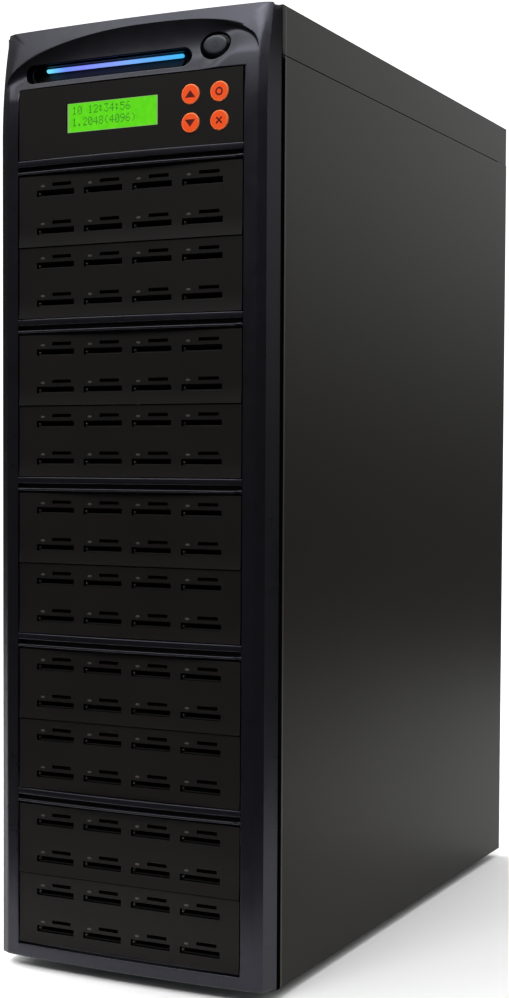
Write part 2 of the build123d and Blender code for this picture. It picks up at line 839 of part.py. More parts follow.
def make_rotor(place, rear):
    """Rotor of a fan whose boss starts at depth rear: pitched blades on a many-sided hub."""
    x, z = place
    tip = math.sqrt(blade_tip**2 - (blade_chord / 2 * math.cos(math.radians(blade_pitch)) + blade_thickness) ** 2)
    with BuildPart() as rotor:
        with BuildSketch(facing(rear)):
            with Locations((x, z)):
                RegularPolygon(fan_hub, hub_sides)
        extrude(amount=rotor_depth)
        for blade in range(blades):
            turn = Plane((x, rear - rotor_depth / 2, z), x_dir=(1, 0, 0), z_dir=(0, 0, 1))
            turn = turn.rotated((0, 360 * blade / blades, 0))
            with BuildSketch(turn.offset(fan_hub - 4)):
                Rectangle(blade_chord, blade_thickness, rotation=blade_pitch)
            extrude(amount=tip - fan_hub + 4)
        with BuildSketch(facing(rear + boss_depth - 0.5)):
            with Locations((x, z)):
                Circle(shaft_radius)
        extrude(amount=boss_depth - 0.5)
    return rotor.part


def draw_fan_boss(place):
    """The motor boss of a fan and its four struts out to the frame."""
    x, z = place
    with Locations((x, z)):
        RegularPolygon(fan_hub + 0.5, hub_sides)
        Rectangle(2 * fan_bore + 1, strut, rotation=45)
        Rectangle(2 * fan_bore + 1, strut, rotation=-45)


boss_front = supply_back - boss_depth - 0.6
with BuildPart() as exhaust_fan_frames:
    for place in fan_places:
        with BuildSketch(facing(supply_back)):
            with Locations(place):
                Rectangle(fan_size, fan_size)
                Circle(fan_bore, mode=Mode.SUBTRACT)
            with Locations(square_of(fan_screw_reach, fan_screw_reach, place)):
                RegularPolygon(screw_radius + screw_clearance, 6, mode=Mode.SUBTRACT)
        extrude(amount=fan_depth)
        with BuildSketch(facing(boss_front + boss_depth)):
            draw_fan_boss(place)
        extrude(amount=boss_depth)
        with BuildSketch(facing(boss_front + boss_depth)):
            with Locations(place):
                Circle(shaft_radius + shaft_clearance)
        extrude(amount=boss_depth, mode=Mode.SUBTRACT)
finish(exhaust_fan_frames.part, "exhaust_fan_frames")

rotor_rear = boss_front - 0.5
finish(make_rotor(fan_places[0], rotor_rear), "upper_fan_rotor")
finish(make_rotor(fan_places[1], rotor_rear), "lower_fan_rotor")

# Power supply with its own fan behind a stamped grille, the mains inlet and a rocker switch
supply_fan_place = (-26.0, supply_z)
inlet_x = 42.0
inlet_rise = 14.0
rocker_drop = 17.0
inlet_place = (inlet_x, supply_z + inlet_rise)
rocker_place = (inlet_x, supply_z - rocker_drop)
inlet_width = 30.0
inlet_height = 22.5
inlet_depth = 18.0
inlet_lip = 1.5
inlet_rim = 1.0
mouth_width = 24.0
mouth_height = 16.5
mouth_depth = 16.0
pin_width = 2.0
pin_height = 4.0
pin_length = 11.0
pin_pitch = 7.0
rocker_width = 13.0
rocker_radius = 9.0
rocker_gap = 0.6
rocker_rise = 3.4
rocker_crest = 6.0
rocker_pivot_y = supply_back - 3.0
well_back = supply_back - sheet
supply_block = 30.0
supply_boss_front = well_back - boss_depth - 0.6
with BuildPart() as power_supply:
    with BuildSketch(facing(supply_back)):
        with Locations((0, supply_z)):
            Rectangle(supply_width, supply_height)
    extrude(amount=supply_depth)
    with BuildSketch(facing(well_back)):
        with Locations(supply_fan_place):
            Circle(fan_bore)
    extrude(amount=supply_block, mode=Mode.SUBTRACT)
    with BuildSketch(facing(supply_back - supply_block)):
        with Locations((0, supply_z)):
            Rectangle(supply_width - 2 * sheet, supply_height - 2 * sheet)
    extrude(amount=supply_depth - supply_block - sheet, mode=Mode.SUBTRACT)
    with BuildSketch(facing(well_back)):
        draw_fan_boss(supply_fan_place)
    extrude(amount=boss_depth + 0.6)
    with BuildSketch(facing(well_back - 0.6)):
        with Locations(supply_fan_place):
            Circle(shaft_radius + shaft_clearance)
    extrude(amount=boss_depth, mode=Mode.SUBTRACT)
    with BuildSketch(facing(supply_back)):
        draw_grille(supply_fan_place)
    extrude(amount=sheet, mode=Mode.SUBTRACT)
    with BuildSketch(facing(supply_back)):
        with Locations(inlet_place):
            Rectangle(inlet_width - 2 * inlet_lip + 0.3, inlet_height - 2 * inlet_lip + 0.3)
        with Locations(rocker_place):
            Rectangle(rocker_width + 2 * rocker_gap, 2 * (rocker_radius + rocker_gap))
        with Locations(supply_screws):
            RegularPolygon(screw_radius + screw_clearance, 6)
    extrude(amount=inlet_depth, mode=Mode.SUBTRACT)
finish(power_supply.part, "power_supply")
finish(make_rotor(supply_fan_place, supply_boss_front - 0.5), "supply_fan")

with BuildPart() as mains_inlet:
    with BuildSketch(facing(supply_back + inlet_rim)):
        with Locations(inlet_place):
            Rectangle(inlet_width, inlet_height)
    extrude(amount=inlet_rim)
    with BuildSketch(facing(supply_back)):
        with Locations(inlet_place):
            Rectangle(inlet_width - 2 * inlet_lip, inlet_height - 2 * inlet_lip)
    extrude(amount=inlet_depth - 0.5)
    with BuildSketch(facing(supply_back + inlet_rim)):
        with Locations(inlet_place):
            Rectangle(mouth_width, mouth_height)
    extrude(amount=mouth_depth, mode=Mode.SUBTRACT)
    with BuildSketch(facing(supply_back + inlet_rim - mouth_depth)):
        x, z = inlet_place
        with Locations((x, z + pin_pitch / 2), (x - pin_pitch, z - 2.5), (x + pin_pitch, z - 2.5)):
            Rectangle(pin_width, pin_height)
    extrude(amount=-pin_length)
finish(mains_inlet.part, "mains_inlet")

with BuildPart() as supply_switch:
    x, z = rocker_place
    with BuildSketch(Plane.YZ.offset(x)):
        with Locations((rocker_pivot_y, z)):
            Circle(rocker_radius)
        with BuildLine():
            Polyline(
                (rocker_pivot_y + rocker_rise, z),
                (rocker_pivot_y + rocker_crest, z + rocker_radius + 1),
                (rocker_pivot_y + 2 * rocker_radius, z + rocker_radius + 1),
                (rocker_pivot_y + 2 * rocker_radius, z - rocker_radius - 1),
                (rocker_pivot_y + rocker_rise, z - rocker_radius - 1),
                close=True,
            )
        make_face(mode=Mode.SUBTRACT)
    extrude(amount=rocker_width / 2, both=True)
finish(supply_switch.part, "supply_switch")

# Feet and fasteners
with BuildPart() as feet:
    with BuildSketch(Plane.XY.offset(pan_z)):
        with Locations((0, (front_y + back_y) / 2)):
            with GridLocations(case_width - 2 * foot_inset, case_depth - 2 * foot_inset, 2, 2):
                RegularPolygon(foot_radius, 20)
    extrude(amount=-pan_z, taper=8)
finish(feet.part, "feet")

with BuildPart() as thumb_screws:
    for side in (-1, 1):
        places = [(side * thumb_x, z) for z in thumb_zs]
        with BuildSketch(facing(back_y + sheet)):
            with Locations(places):
                RegularPolygon(thumb_radius, 12)
        extrude(amount=-thumb_head)
        with BuildSketch(facing(back_y + sheet)):
            with Locations(places):
                RegularPolygon(thumb_hole - screw_clearance, 6)
        extrude(amount=screw_length)
finish(thumb_screws.part, "thumb_screws")

with BuildPart() as rear_screws:
    with BuildSketch(facing(back_y)):
        with Locations(supply_screws + fan_screws):
            RegularPolygon(screw_head_radius, 6)
    extrude(amount=-screw_head)
    with BuildSketch(facing(back_y)):
        with Locations(supply_screws + fan_screws):
            RegularPolygon(screw_radius, 6)
    extrude(amount=screw_length)
finish(rear_screws.part, "rear_screws")
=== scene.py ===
import math

import bpy
import numpy as np
from mathutils import Matrix


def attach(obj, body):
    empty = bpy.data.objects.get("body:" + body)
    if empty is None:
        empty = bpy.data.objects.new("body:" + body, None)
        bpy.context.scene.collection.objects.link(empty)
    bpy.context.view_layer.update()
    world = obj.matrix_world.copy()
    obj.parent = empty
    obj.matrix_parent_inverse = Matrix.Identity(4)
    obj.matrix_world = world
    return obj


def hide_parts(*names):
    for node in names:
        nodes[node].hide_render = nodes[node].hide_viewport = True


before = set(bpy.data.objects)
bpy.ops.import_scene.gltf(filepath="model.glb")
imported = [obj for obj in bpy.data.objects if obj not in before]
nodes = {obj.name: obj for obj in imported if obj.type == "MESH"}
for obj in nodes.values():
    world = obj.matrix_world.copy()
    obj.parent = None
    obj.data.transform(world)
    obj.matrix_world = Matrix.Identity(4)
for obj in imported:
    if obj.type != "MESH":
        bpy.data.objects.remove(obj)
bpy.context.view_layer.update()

# The scene is in metres, the sizes below in millimetres. X runs right, Y back, Z up from the ground.
MM = 0.001
CASE_FRONT = -198.0
BASE = 6.0
CASE_TOP = 564.0
SKIRT_EDGE = CASE_TOP - 27.0
# Front strips of the sheets: a painted gap shadow up to the first depth, and a painted hem highlight up to
# the second.
GAP_SHADOW_BACK = CASE_FRONT + 3.5
HEM_HIGHLIGHT_BACK = CASE_FRONT + 5.2
BEZEL_REACH = 18.0
BEZEL_BACK = CASE_FRONT - 0.6
BEZEL_BOTTOM = BASE + 0.8
# Half widths of the bezel, and how far the face lies behind its middle there.
SHOULDER = 83.0
SHOULDER_SAG = 3.18
CORNER = 88.2
CORNER_SAG = 5.8
FLANGE = 91.4
TURN = 1.2
LEAN_START = BASE + 494.0
LEAN_RADIUS = 260.0
CREST = 1.0
RIM_CORNER, BACK_CORNER, RIM_EDGE = 0.7, 2.7, 0.2
BAY = 42.6
GROUP = 2 * BAY
DIVIDER = 8.9
LIP_LOW, GROOVE_LOW, GROOVE_HIGH = 0.8, 2.3, 5.2
GROOVE_DEPTH, REBATE_DEPTH = 4.5, 3.0
EDGE = 0.6
HIGH_LIP_EDGE = 0.5
FOOT_EDGE = 1.5
WINDOW = 75.1
FIRST_BAY = BASE + 10.1
GROUP_FLOORS = [FIRST_BAY + k * (GROUP + DIVIDER) for k in range(5)]
CONTROL_FLOOR = FIRST_BAY + 5 * (GROUP + DIVIDER)
CONTROL_TOP = CONTROL_FLOOR + BAY
PLATE_FRONT = CASE_FRONT - 14.8
SCOOP_FLOOR = CONTROL_TOP + 1.9
SCOOP_RISE = 28.9
SCOOP_MIDDLE = 10.0
SCOOP_LEFT = 96.0
SCOOP_RIGHT = 73.5
SCOOP_DEPTH = 3.0
SCOOP_BELLY = 1.2
SCOOP_END_LOSS = 0.9
SCOOP_LIP = 0.5
SLOT_X, SLOT_Z = -16.5, CONTROL_TOP + 9.0
SLOT_LENGTH, SLOT_HEIGHT = 112.0, 11.0
LIGHT_X, LIGHT_HALF = -15.3, 46.5
BUTTON_X, BUTTON_Z = 54.7, CONTROL_TOP + 13.5
BUTTON_HOLE = (9.8, 7.8)
BUTTON_HALF_X, BUTTON_HALF_Z = 9.6, 6.7
BUTTON_RISE = 0.8
COLUMN_PITCH = 32.7
COLUMNS = [COLUMN_PITCH * k for k in (-1.5, -0.5, 0.5, 1.5)]
SLOT_DROPS = (10.9, 33.2)
DISPLAY_X, DISPLAY_Z = -10.7, 509.55
DISPLAY_HALF_X, DISPLAY_HALF_Z = 29.8, 8.3
KEY_X, KEY_PITCH_X, KEY_PITCH_Z = 50.55, 18.4, 16.1
KEY_RADIUS = 5.5


# Colours and materials
def tone(r, g, b):
    """An 8-bit screen colour as the linear colour that a shader wants."""
    c = np.array([r, g, b]) / 255.0
    c = np.where(c <= 0.04045, c / 12.92, ((c + 0.055) / 1.055) ** 2.4)
    return (*map(float, c), 1.0)


class Finish:
    """A node material under construction: a Principled shader and short calls that add nodes to it."""

    def __init__(self, name, colour, rough, **sockets):
        self.material = bpy.data.materials.new(name)
        self.material.use_nodes = True
        self.tree = self.material.node_tree
        self.shader = self.tree.nodes["Principled BSDF"]
        self.shader.inputs["Base Color"].default_value = colour
        self.shader.inputs["Roughness"].default_value = rough
        for socket, value in sockets.items():
            self.shader.inputs[socket.replace("_", " ")].default_value = value
        self.place = self.add("ShaderNodeTexCoord").outputs["Object"]

    def add(self, kind, **settings):
        node = self.tree.nodes.new(kind)
        for key, value in settings.items():
            setattr(node, key, value)
        return node

    def put(self, value, socket):
        """Sets a socket to a number or links it to another socket."""
        if isinstance(value, bpy.types.NodeSocket):
            self.tree.links.new(value, socket)
        else:
            socket.default_value = value

    def scaled(self, x, y, z):
        """Object coordinates stretched by three factors."""
        node = self.add("ShaderNodeMapping")
        node.inputs["Scale"].default_value = (x, y, z)
        self.put(self.place, node.inputs["Vector"])
        return node.outputs["Vector"]

    def noise(self, size, detail=3.0, rough=0.5, where=None):
        """Noise whose grains are about size millimetres across."""
        node = self.add("ShaderNodeTexNoise")
        node.inputs["Scale"].default_value = 1000.0 / size
        node.inputs["Detail"].default_value = detail
        node.inputs["Roughness"].default_value = rough
        self.put(where or self.place, node.inputs["Vector"])
        return node.outputs["Fac"]

    def ramp(self, value, *stops):
        """A colour ramp: stops are (place, colour) pairs."""
        node = self.add("ShaderNodeValToRGB")
        band = node.color_ramp
        while len(band.elements) < len(stops):
            band.elements.new(0.5)
        for element, (at, colour) in zip(band.elements, stops):
            element.position = at
            element.color = colour
        self.put(value, node.inputs["Fac"])
        return node.outputs["Color"]

    def fit(self, value, low, high, to_low, to_high):
        """Maps a value's range to another, held at the ends."""
        node = self.add("ShaderNodeMapRange")
        for key, number in zip(("From Min", "From Max", "To Min", "To Max"), (low, high, to_low, to_high)):
            node.inputs[key].default_value = number
        self.put(value, node.inputs["Value"])
        return node.outputs["Result"]

    def maths(self, operation, a, b=0.0, c=0.0):
        """One step of arithmetic on sockets or numbers."""
        node = self.add("ShaderNodeMath", operation=operation)
        for socket, value in zip(node.inputs, (a, b, c)):
            self.put(value, socket)
        return node.outputs["Value"]

    def off(self, value, middle):
        """A value less a place in millimetres."""
        return self.maths("SUBTRACT", value, middle * MM)

    def size(self, value):
        """A value without its sign."""
        return self.maths("ABSOLUTE", value)

    def below(self, value, limit):
        """One where a value is less than a limit, nothing elsewhere."""
        return self.maths("LESS_THAN", value, limit)

    def both(self, a, b):
        """The product of two values, so both masks at once."""
        return self.maths("MULTIPLY", a, b)

    def reach(self, u, v):
        """Distance from nought of two values at right angles."""
        return self.maths("SQRT", self.maths("ADD", self.both(u, u), self.both(v, v)))

    def mix(self, amount, a, b):
        """Mixes two colours by amount. The colour sockets of the node are found by their kind."""
        node = self.add("ShaderNodeMix", data_type="RGBA")
        self.put(amount, node.inputs["Factor"])
        first, second = [socket for socket in node.inputs if socket.type == "RGBA"]
        self.put(a, first)
        self.put(b, second)
        return next(socket for socket in node.outputs if socket.type == "RGBA")

    def split(self):
        """Object coordinates as three numbers in metres."""
        node = self.add("ShaderNodeSeparateXYZ")
        self.put(self.place, node.inputs["Vector"])
        return node.outputs["X"], node.outputs["Y"], node.outputs["Z"]

    def colour(self, value):
        self.put(value, self.shader.inputs["Base Color"])

    def rough(self, value):
        self.put(value, self.shader.inputs["Roughness"])

    def bump(self, height, depth, strength=1.0):
        """Raises the surface by height times depth millimetres."""
        node = self.add("ShaderNodeBump")
        node.inputs["Strength"].default_value = strength
        node.inputs["Distance"].default_value = depth * MM
        self.put(height, node.inputs["Height"])
        self.put(node.outputs["Normal"], self.shader.inputs["Normal"])


def moulded(name, colour, rough, grain, depth, spread=0.15, **sockets):
    """A moulded plastic: slow drift of tone, a spark-eroded grain and roughness that follows the grain."""
    f = Finish(name, colour, rough, **sockets)
    drift = f.noise(60.0, 2.0)
    fine = f.noise(grain, 4.0, 0.6)
    light = tuple(c * (1 + spread) for c in colour[:3]) + (1.0,)
    dark = tuple(c * (1 - spread) for c in colour[:3]) + (1.0,)
    f.colour(f.ramp(drift, (0.3, dark), (0.7, light)))
    f.rough(f.fit(fine, 0.3, 0.7, rough - 0.05, rough + 0.05))
    f.bump(fine, depth)
    return f


def bezel_plastic():
    """Glossy blue-black moulding: faint flow marks, a hazy gloss, and the softest orange peel."""
    f = Finish("bezel_gloss", tone(17, 18, 22), 0.3, Specular_IOR_Level=0.4)
    f.shader.inputs["Specular Tint"].default_value = (0.94, 0.94, 1.13, 1)
    flow = f.noise(90.0, 3.0, 0.5, f.scaled(1, 1, 0.35))
    haze = f.noise(9.0, 3.0, 0.6)
    f.rough(f.fit(haze, 0.3, 0.7, 0.27, 0.33))
    f.colour(f.ramp(flow, (0.3, tone(13, 13, 16)), (0.7, tone(17, 17, 21))))
    f.bump(f.noise(2.2, 2.0), 0.004)
    return f.material


def case_paint():
    """Satin black paint on sheet: fine grain, slow drift of tone, small lighter specks, and at the front
    edge a painted shadow of the gap behind the bezel, duller and fainter on the cover, with a painted
    highlight of the rolled hem behind it."""
    f = Finish("case_paint", tone(24, 22, 19), 0.4, Specular_IOR_Level=0.06)
    f.shader.inputs["Specular Tint"].default_value = (1.0, 0.93, 0.86, 1)
    grain = f.noise(0.5, 3.0, 0.6)
    drift = f.noise(120.0, 3.0)
    base = f.ramp(drift, (0.3, tone(22, 20, 17)), (0.7, tone(25, 23, 20)))
    speck = f.fit(grain, 0.62, 0.8, 0.0, 0.35)
    _, y, z = f.split()
    # Painted highlight: a lighter band along the front edge, standing for the reflection off the rolled hem.
    painted_hem_highlight = f.fit(y, (HEM_HIGHLIGHT_BACK - 0.8) * MM, HEM_HIGHLIGHT_BACK * MM, 0.4, 0.0)
    # Painted shadow: a near-black, less glossy strip where the gap behind the bezel lies in shade, fainter
    # above the cover's seam.
    painted_gap_shadow = f.fit(y, (GAP_SHADOW_BACK - 0.5) * MM, GAP_SHADOW_BACK * MM, 1.0, 0.0)
    painted_gap_shadow = f.both(painted_gap_shadow, f.fit(z, (SKIRT_EDGE - 3.0) * MM, (SKIRT_EDGE + 3.0) * MM, 1.0, 0.5))
    sheet = f.mix(painted_hem_highlight, f.mix(speck, base, tone(44, 41, 37)), tone(104, 102, 97))
    f.colour(f.mix(painted_gap_shadow, sheet, tone(5, 5, 5)))
    f.put(f.maths("MULTIPLY_ADD", painted_gap_shadow, -0.06, 0.06), f.shader.inputs["Specular IOR Level"])
    f.rough(f.fit(grain, 0.3, 0.7, 0.34, 0.44))
    f.bump(grain, 0.02)
    return f.material


def plate_plastic():
    """Satin black plate: slow drift of tone and a fine grain, with painted shade on the walls of its slots,
    darker and duller there.
    """
    f = Finish("plate_black", tone(20, 18, 17), 0.5, Specular_IOR_Level=0.14)
    fine = f.noise(0.8, 4.0, 0.6)
    _, y, _ = f.split()
    # Painted shade: behind the plate's front, the slot walls turn near black and lose their gloss.
    wall = f.fit(y, (PLATE_FRONT + 0.1) * MM, (PLATE_FRONT + 0.35) * MM, 0.0, 1.0)
    base = f.ramp(f.noise(60.0, 2.0), (0.3, tone(19, 17, 16)), (0.7, tone(22, 20, 19)))
    f.colour(f.mix(wall, base, tone(3, 3, 3)))
    f.put(f.maths("MULTIPLY_ADD", wall, -0.14, 0.14), f.shader.inputs["Specular IOR Level"])
    f.rough(f.fit(fine, 0.3, 0.7, 0.45, 0.55))
    f.bump(fine, 0.02)
    return f.material


def plated_steel(name, shade):
    """Zinc-plated sheet: rolling streaks along Y and cloudy plating."""
    f = Finish(name, tone(*shade), 0.38, Metallic=1.0)
    streak = f.noise(1.6, 3.0, 0.6, f.scaled(1.0, 0.04, 1.0))
    cloud = f.noise(22.0, 4.0, 0.6)
    low = tuple(max(0, c - 22) for c in shade)
    plating = f.ramp(cloud, (0.3, tone(*low)), (0.7, tone(*shade)))
    f.colour(f.mix(f.fit(streak, 0.3, 0.7, 0.0, 0.4), plating, tone(190, 192, 194)))
    f.rough(f.fit(streak, 0.3, 0.7, 0.3, 0.46))
    f.bump(streak, 0.006)
    return f.material


def circuit_board():
    """Green solder mask over copper tracks, drawn as bricks of thin lines, with bright pads."""
    f = Finish("circuit_board", tone(30, 82, 46), 0.35)
    track = f.add("ShaderNodeTexBrick")
    track.inputs["Scale"].default_value = 120.0
    track.inputs["Mortar Size"].default_value = 0.03
    track.inputs["Color1"].default_value = tone(24, 76, 40)
    track.inputs["Color2"].default_value = tone(28, 84, 46)
    track.inputs["Mortar"].default_value = tone(58, 118, 66)
    f.put(f.place, track.inputs["Vector"])
    pads = f.fit(f.noise(3.0, 1.0), 0.66, 0.68, 0.0, 1.0)
    f.colour(f.mix(pads, track.outputs["Color"], tone(176, 170, 120)))
    f.bump(track.outputs["Fac"], 0.03)
    return f.material


def metal(name, shade, rough):
    """Bright turned metal with fine tool marks drawn out along Y."""
    f = Finish(name, tone(*shade), rough, Metallic=1.0)
    mark = f.noise(0.7, 2.0, 0.5, f.scaled(1.0, 0.2, 1.0))
    f.rough(f.fit(mark, 0.3, 0.7, rough - 0.08, rough + 0.08))
    f.colour(f.ramp(mark, (0.3, tone(*[c - 14 for c in shade])), (0.7, tone(*shade))))
    f.bump(mark, 0.01)
    return f.material


def light_bar_glow():
    """A lit diffuser: cyan at its left end, violet over its left half and sky blue towards the right."""
    f = Finish("light_bar", tone(120, 200, 255), 0.3)
    x, _, _ = f.split()
    along = f.fit(x, (LIGHT_X - LIGHT_HALF) * MM, (LIGHT_X + LIGHT_HALF) * MM, 0.0, 1.0)
    hue = f.ramp(
        along,
        (0.0, tone(110, 240, 255)),
        (0.07, tone(112, 196, 255)),
        (0.14, tone(117, 150, 255)),
        (0.26, tone(131, 142, 250)),
        (0.5, tone(136, 162, 250)),
        (0.63, tone(122, 176, 253)),
        (0.8, tone(96, 176, 250)),
        (1.0, tone(64, 186, 251)),
    )
    grain = f.noise(1.5, 2.0)
    f.colour(hue)
    f.put(hue, f.shader.inputs["Emission Color"])
    f.put(f.fit(grain, 0.3, 0.7, 0.94, 1.02), f.shader.inputs["Emission Strength"])
    return f.material


def display_glass():
    """The lit display: lime green with a faint mottle, and a pale rim along the window's edge."""
    f = Finish("display", tone(90, 220, 20), 0.12)
    cells = f.noise(4.0, 2.0)
    hue = f.ramp(cells, (0.3, tone(92, 222, 22)), (0.7, tone(108, 236, 34)))
    x, _, z = f.split()
    side, level = f.size(f.off(x, DISPLAY_X)), f.size(f.off(z, DISPLAY_Z))
    ends = f.fit(side, (DISPLAY_HALF_X - 0.6) * MM, DISPLAY_HALF_X * MM, 0.0, 0.8)
    long_edges = f.fit(level, (DISPLAY_HALF_Z - 0.4) * MM, DISPLAY_HALF_Z * MM, 0.0, 0.6)
    rim = f.maths("MAXIMUM", ends, long_edges)
    f.colour(tone(20, 50, 8))
    f.put(f.mix(rim, hue, tone(158, 170, 130)), f.shader.inputs["Emission Color"])
    f.shader.inputs["Emission Strength"].default_value = 0.85
    return f.material


def key_plastic(name, place, mark):
    """Orange keycap with a painted highlight round its rim and a dark red mark: up, down, enter or escape."""
    f = Finish(name, tone(255, 84, 20), 0.4, Specular_IOR_Level=0.3)
    x, _, z = f.split()
    u, v = f.off(x, place[0]), f.off(z, place[1])
    reach = f.reach(u, v)
    # Painted highlight: the cap turns lighter over its outer 0.8 mm.
    rim = f.fit(reach, (KEY_RADIUS - 0.8) * MM, KEY_RADIUS * MM, 0.0, 1.0)
    orange = f.ramp(f.noise(3.0, 2.0), (0.3, tone(255, 80, 16)), (0.7, tone(255, 88, 22)))
    base = f.mix(rim, orange, tone(255, 136, 80))
    side = f.size(u)
    if mark in ("up", "down"):
        rise = v if mark == "up" else f.maths("MULTIPLY", v, -1.0)
        flanks = f.below(f.maths("ADD", f.maths("MULTIPLY", side, 1.25), rise), 2.3 * MM)
        inside = f.both(flanks, f.maths("GREATER_THAN", rise, -1.9 * MM))
    elif mark == "enter":
        inside = f.below(f.size(f.off(reach, 1.9)), 0.5 * MM)
    else:
        cross = f.below(f.size(f.maths("SUBTRACT", side, f.size(v))), 0.7 * MM)
        inside = f.both(f.below(reach, 2.5 * MM), cross)
    f.colour(f.mix(inside, base, tone(88, 8, 2)))
    f.rough(f.fit(f.noise(0.6, 2.0), 0.3, 0.7, 0.34, 0.48))
    f.bump(f.noise(0.5, 2.0), 0.01)
    return f.material


key_left, key_right = KEY_X - KEY_PITCH_X / 2, KEY_X + KEY_PITCH_X / 2
key_middle = CONTROL_FLOOR + BAY / 2
key_low, key_high = key_middle - KEY_PITCH_Z / 2, key_middle + KEY_PITCH_Z / 2
KEYS = {
    "up_key": ((key_left, key_high), "up"),
    "enter_key": ((key_right, key_high), "enter"),
    "down_key": ((key_left, key_low), "down"),
    "escape_key": ((key_right, key_low), "escape"),
}

bezel_gloss = bezel_plastic()
paint = case_paint()
zinc = plated_steel("zinc_plate", (158, 160, 160))
supply_zinc = plated_steel("supply_plate", (146, 148, 149))
board = circuit_board()
plate = plate_plastic()
smoke = moulded("smoked_lining", tone(8, 8, 12), 0.45, 3.0, 0.002, 0.1, Specular_IOR_Level=0.12).material
button_black = moulded("button_black", tone(24, 25, 31), 0.28, 1.2, 0.004, 0.1).material
socket_black = moulded("socket_black", tone(12, 12, 12), 0.55, 1.0, 0.02).material
inlet_black = moulded("inlet_black", tone(18, 18, 18), 0.45, 0.8, 0.02).material
fan_black = moulded("fan_black", tone(20, 20, 20), 0.45, 1.0, 0.02).material
lamp_clear = moulded("lamp_clear", tone(124, 128, 124), 0.2, 1.0, 0.004).material
foot_rubber = moulded("foot_rubber", tone(22, 22, 22), 0.8, 0.7, 0.05).material
screw_metal = metal("screw_nickel", (178, 179, 180), 0.32)
glow = light_bar_glow()
display = display_glass()

SKINS = {
    "front_bezel": bezel_gloss,
    "light_tray": smoke,
    "light_bar": glow,
    "power_button": button_black,
    "lcd_window": display,
    "status_lights": lamp_clear,
    "top_cover": paint,
    "left_side_panel": paint,
    "right_side_panel": paint,
    "power_supply": supply_zinc,
    "mains_inlet": inlet_black,
    "supply_switch": inlet_black,
    "supply_fan": fan_black,
    "exhaust_fan_frames": fan_black,
    "upper_fan_rotor": fan_black,
    "lower_fan_rotor": fan_black,
    "feet": foot_rubber,
    "rear_screws": screw_metal,
    "thumb_screws": screw_metal,
}
SKINS_BY_START = {
    ("reader_panel", "control_panel"): plate,
    ("card_sockets", "lcd_module", "key_switches", "power_switch"): socket_black,
    ("reader_boards", "control_board", "key_board", "light_board"): board,
    ("reader_sled", "control_sled", "bay_walls", "front_frame", "base_pan", "rear_panel"): zinc,
}


def skin_of(name):
    """The material of a CAD node: a key's own, one by the node's name, or one by how the name starts."""
    if name in KEYS:
        return key_plastic(f"{name}_cap", *KEYS[name])
    if name in SKINS:
        return SKINS[name]
    return next(skin for starts, skin in SKINS_BY_START.items() if name.startswith(starts))


for name, node in nodes.items():
    node.data.materials.clear()
    node.data.materials.append(skin_of(name))


# Surfaces from grids
def make_piece(name, points, faces, skin, body, smooth=True, crease=35.0):
    """A mesh from points in millimetres and a list of face index arrays, smooth up to the crease angle."""
    mesh = bpy.data.meshes.new(name)
    mesh.from_pydata((np.asarray(points) * MM).tolist(), [], [list(map(int, f)) for f in faces])
    mesh.validate()
    if smooth:
        mesh.polygons.foreach_set("use_smooth", np.ones(len(mesh.polygons), dtype=bool))
        mesh.set_sharp_from_angle(angle=math.radians(crease))
    mesh.materials.append(skin)
    mesh.update()
    piece = bpy.data.objects.new(name, mesh)
    bpy.context.scene.collection.objects.link(piece)
    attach(piece, body)
    return piece


def stadium(x, z, cx, cz, length, height):
    """Distance outside a slot with round ends, and the nearest point on its outline."""
    half = (length - height) / 2
    mid = np.clip(x - cx, -half, half) + cx
    dx, dz = x - mid, z - cz
    far = np.maximum(np.hypot(dx, dz), 1e-9)
    return far - height / 2, mid + dx / far * height / 2, cz + dz / far * height / 2


def ellipse(x, z, cx, cz, a, b):
    """Rough distance outside an ellipse, and the point where the ray from its middle crosses the outline."""
    reach = np.maximum(np.hypot((x - cx) / a, (z - cz) / b), 1e-9)
    return (reach - 1) * min(a, b), cx + (x - cx) / reach, cz + (z - cz) / reach


def pierced_face(x, z, holes, kept):
    """Snaps the grid's points to the outlines of the holes that they fall in, and says which cells stay.
    A cell stays if it was kept and any of its corners lies outside every hole."""
    inside = np.zeros(x.shape, dtype=bool)
    for hole in holes:
        far, ox, oz = hole(x, z)
        hit = far < 0
        x, z = np.where(hit, ox, x), np.where(hit, oz, z)
        inside |= hit
    corners = inside[:-1, :-1] & inside[1:, :-1] & inside[:-1, 1:] & inside[1:, 1:]
    return x, z, kept & ~corners


def closed_shell(x, y, z, kept, back):
    """A front surface on a grid, the same cells again at the depth back, and walls round every open edge."""
    rows, cols = x.shape
    index = np.arange(rows * cols).reshape(rows, cols)
    front = np.stack([x, y, z], -1).reshape(-1, 3)
    rear = front.copy()
    rear[:, 1] = back
    a, b = index[:-1, :-1][kept], index[:-1, 1:][kept]
    c, d = index[1:, 1:][kept], index[1:, :-1][kept]
    quads = np.stack([a, b, c, d], -1)
    shift = rows * cols
    faces = [quads, quads[:, ::-1] + shift]
    edges = np.concatenate([quads[:, [k, (k + 1) % 4]] for k in range(4)])
    key = np.sort(edges, 1)
    _, first, count = np.unique(key, axis=0, return_index=True, return_counts=True)
    rim = edges[first[count == 1]]
    faces.append(np.stack([rim[:, 1], rim[:, 0], rim[:, 0] + shift, rim[:, 1] + shift], -1))
    faces = np.concatenate(faces)
    points = np.concatenate([front, rear])
    used, where = np.unique(faces, return_inverse=True)
    return points[used], where.reshape(faces.shape)


def lean(z):
    """How far the front has curved back at height z: an arc of one radius above the straight part."""
    rise = np.maximum(0.0, z - LEAN_START)
    return LEAN_RADIUS - np.sqrt(LEAN_RADIUS**2 - rise**2)


def smooth(t):
    """A share that leaves 0 and reaches 1 without a corner."""
    t = np.clip(t, 0, 1)
    return t * t * (3 - 2 * t)


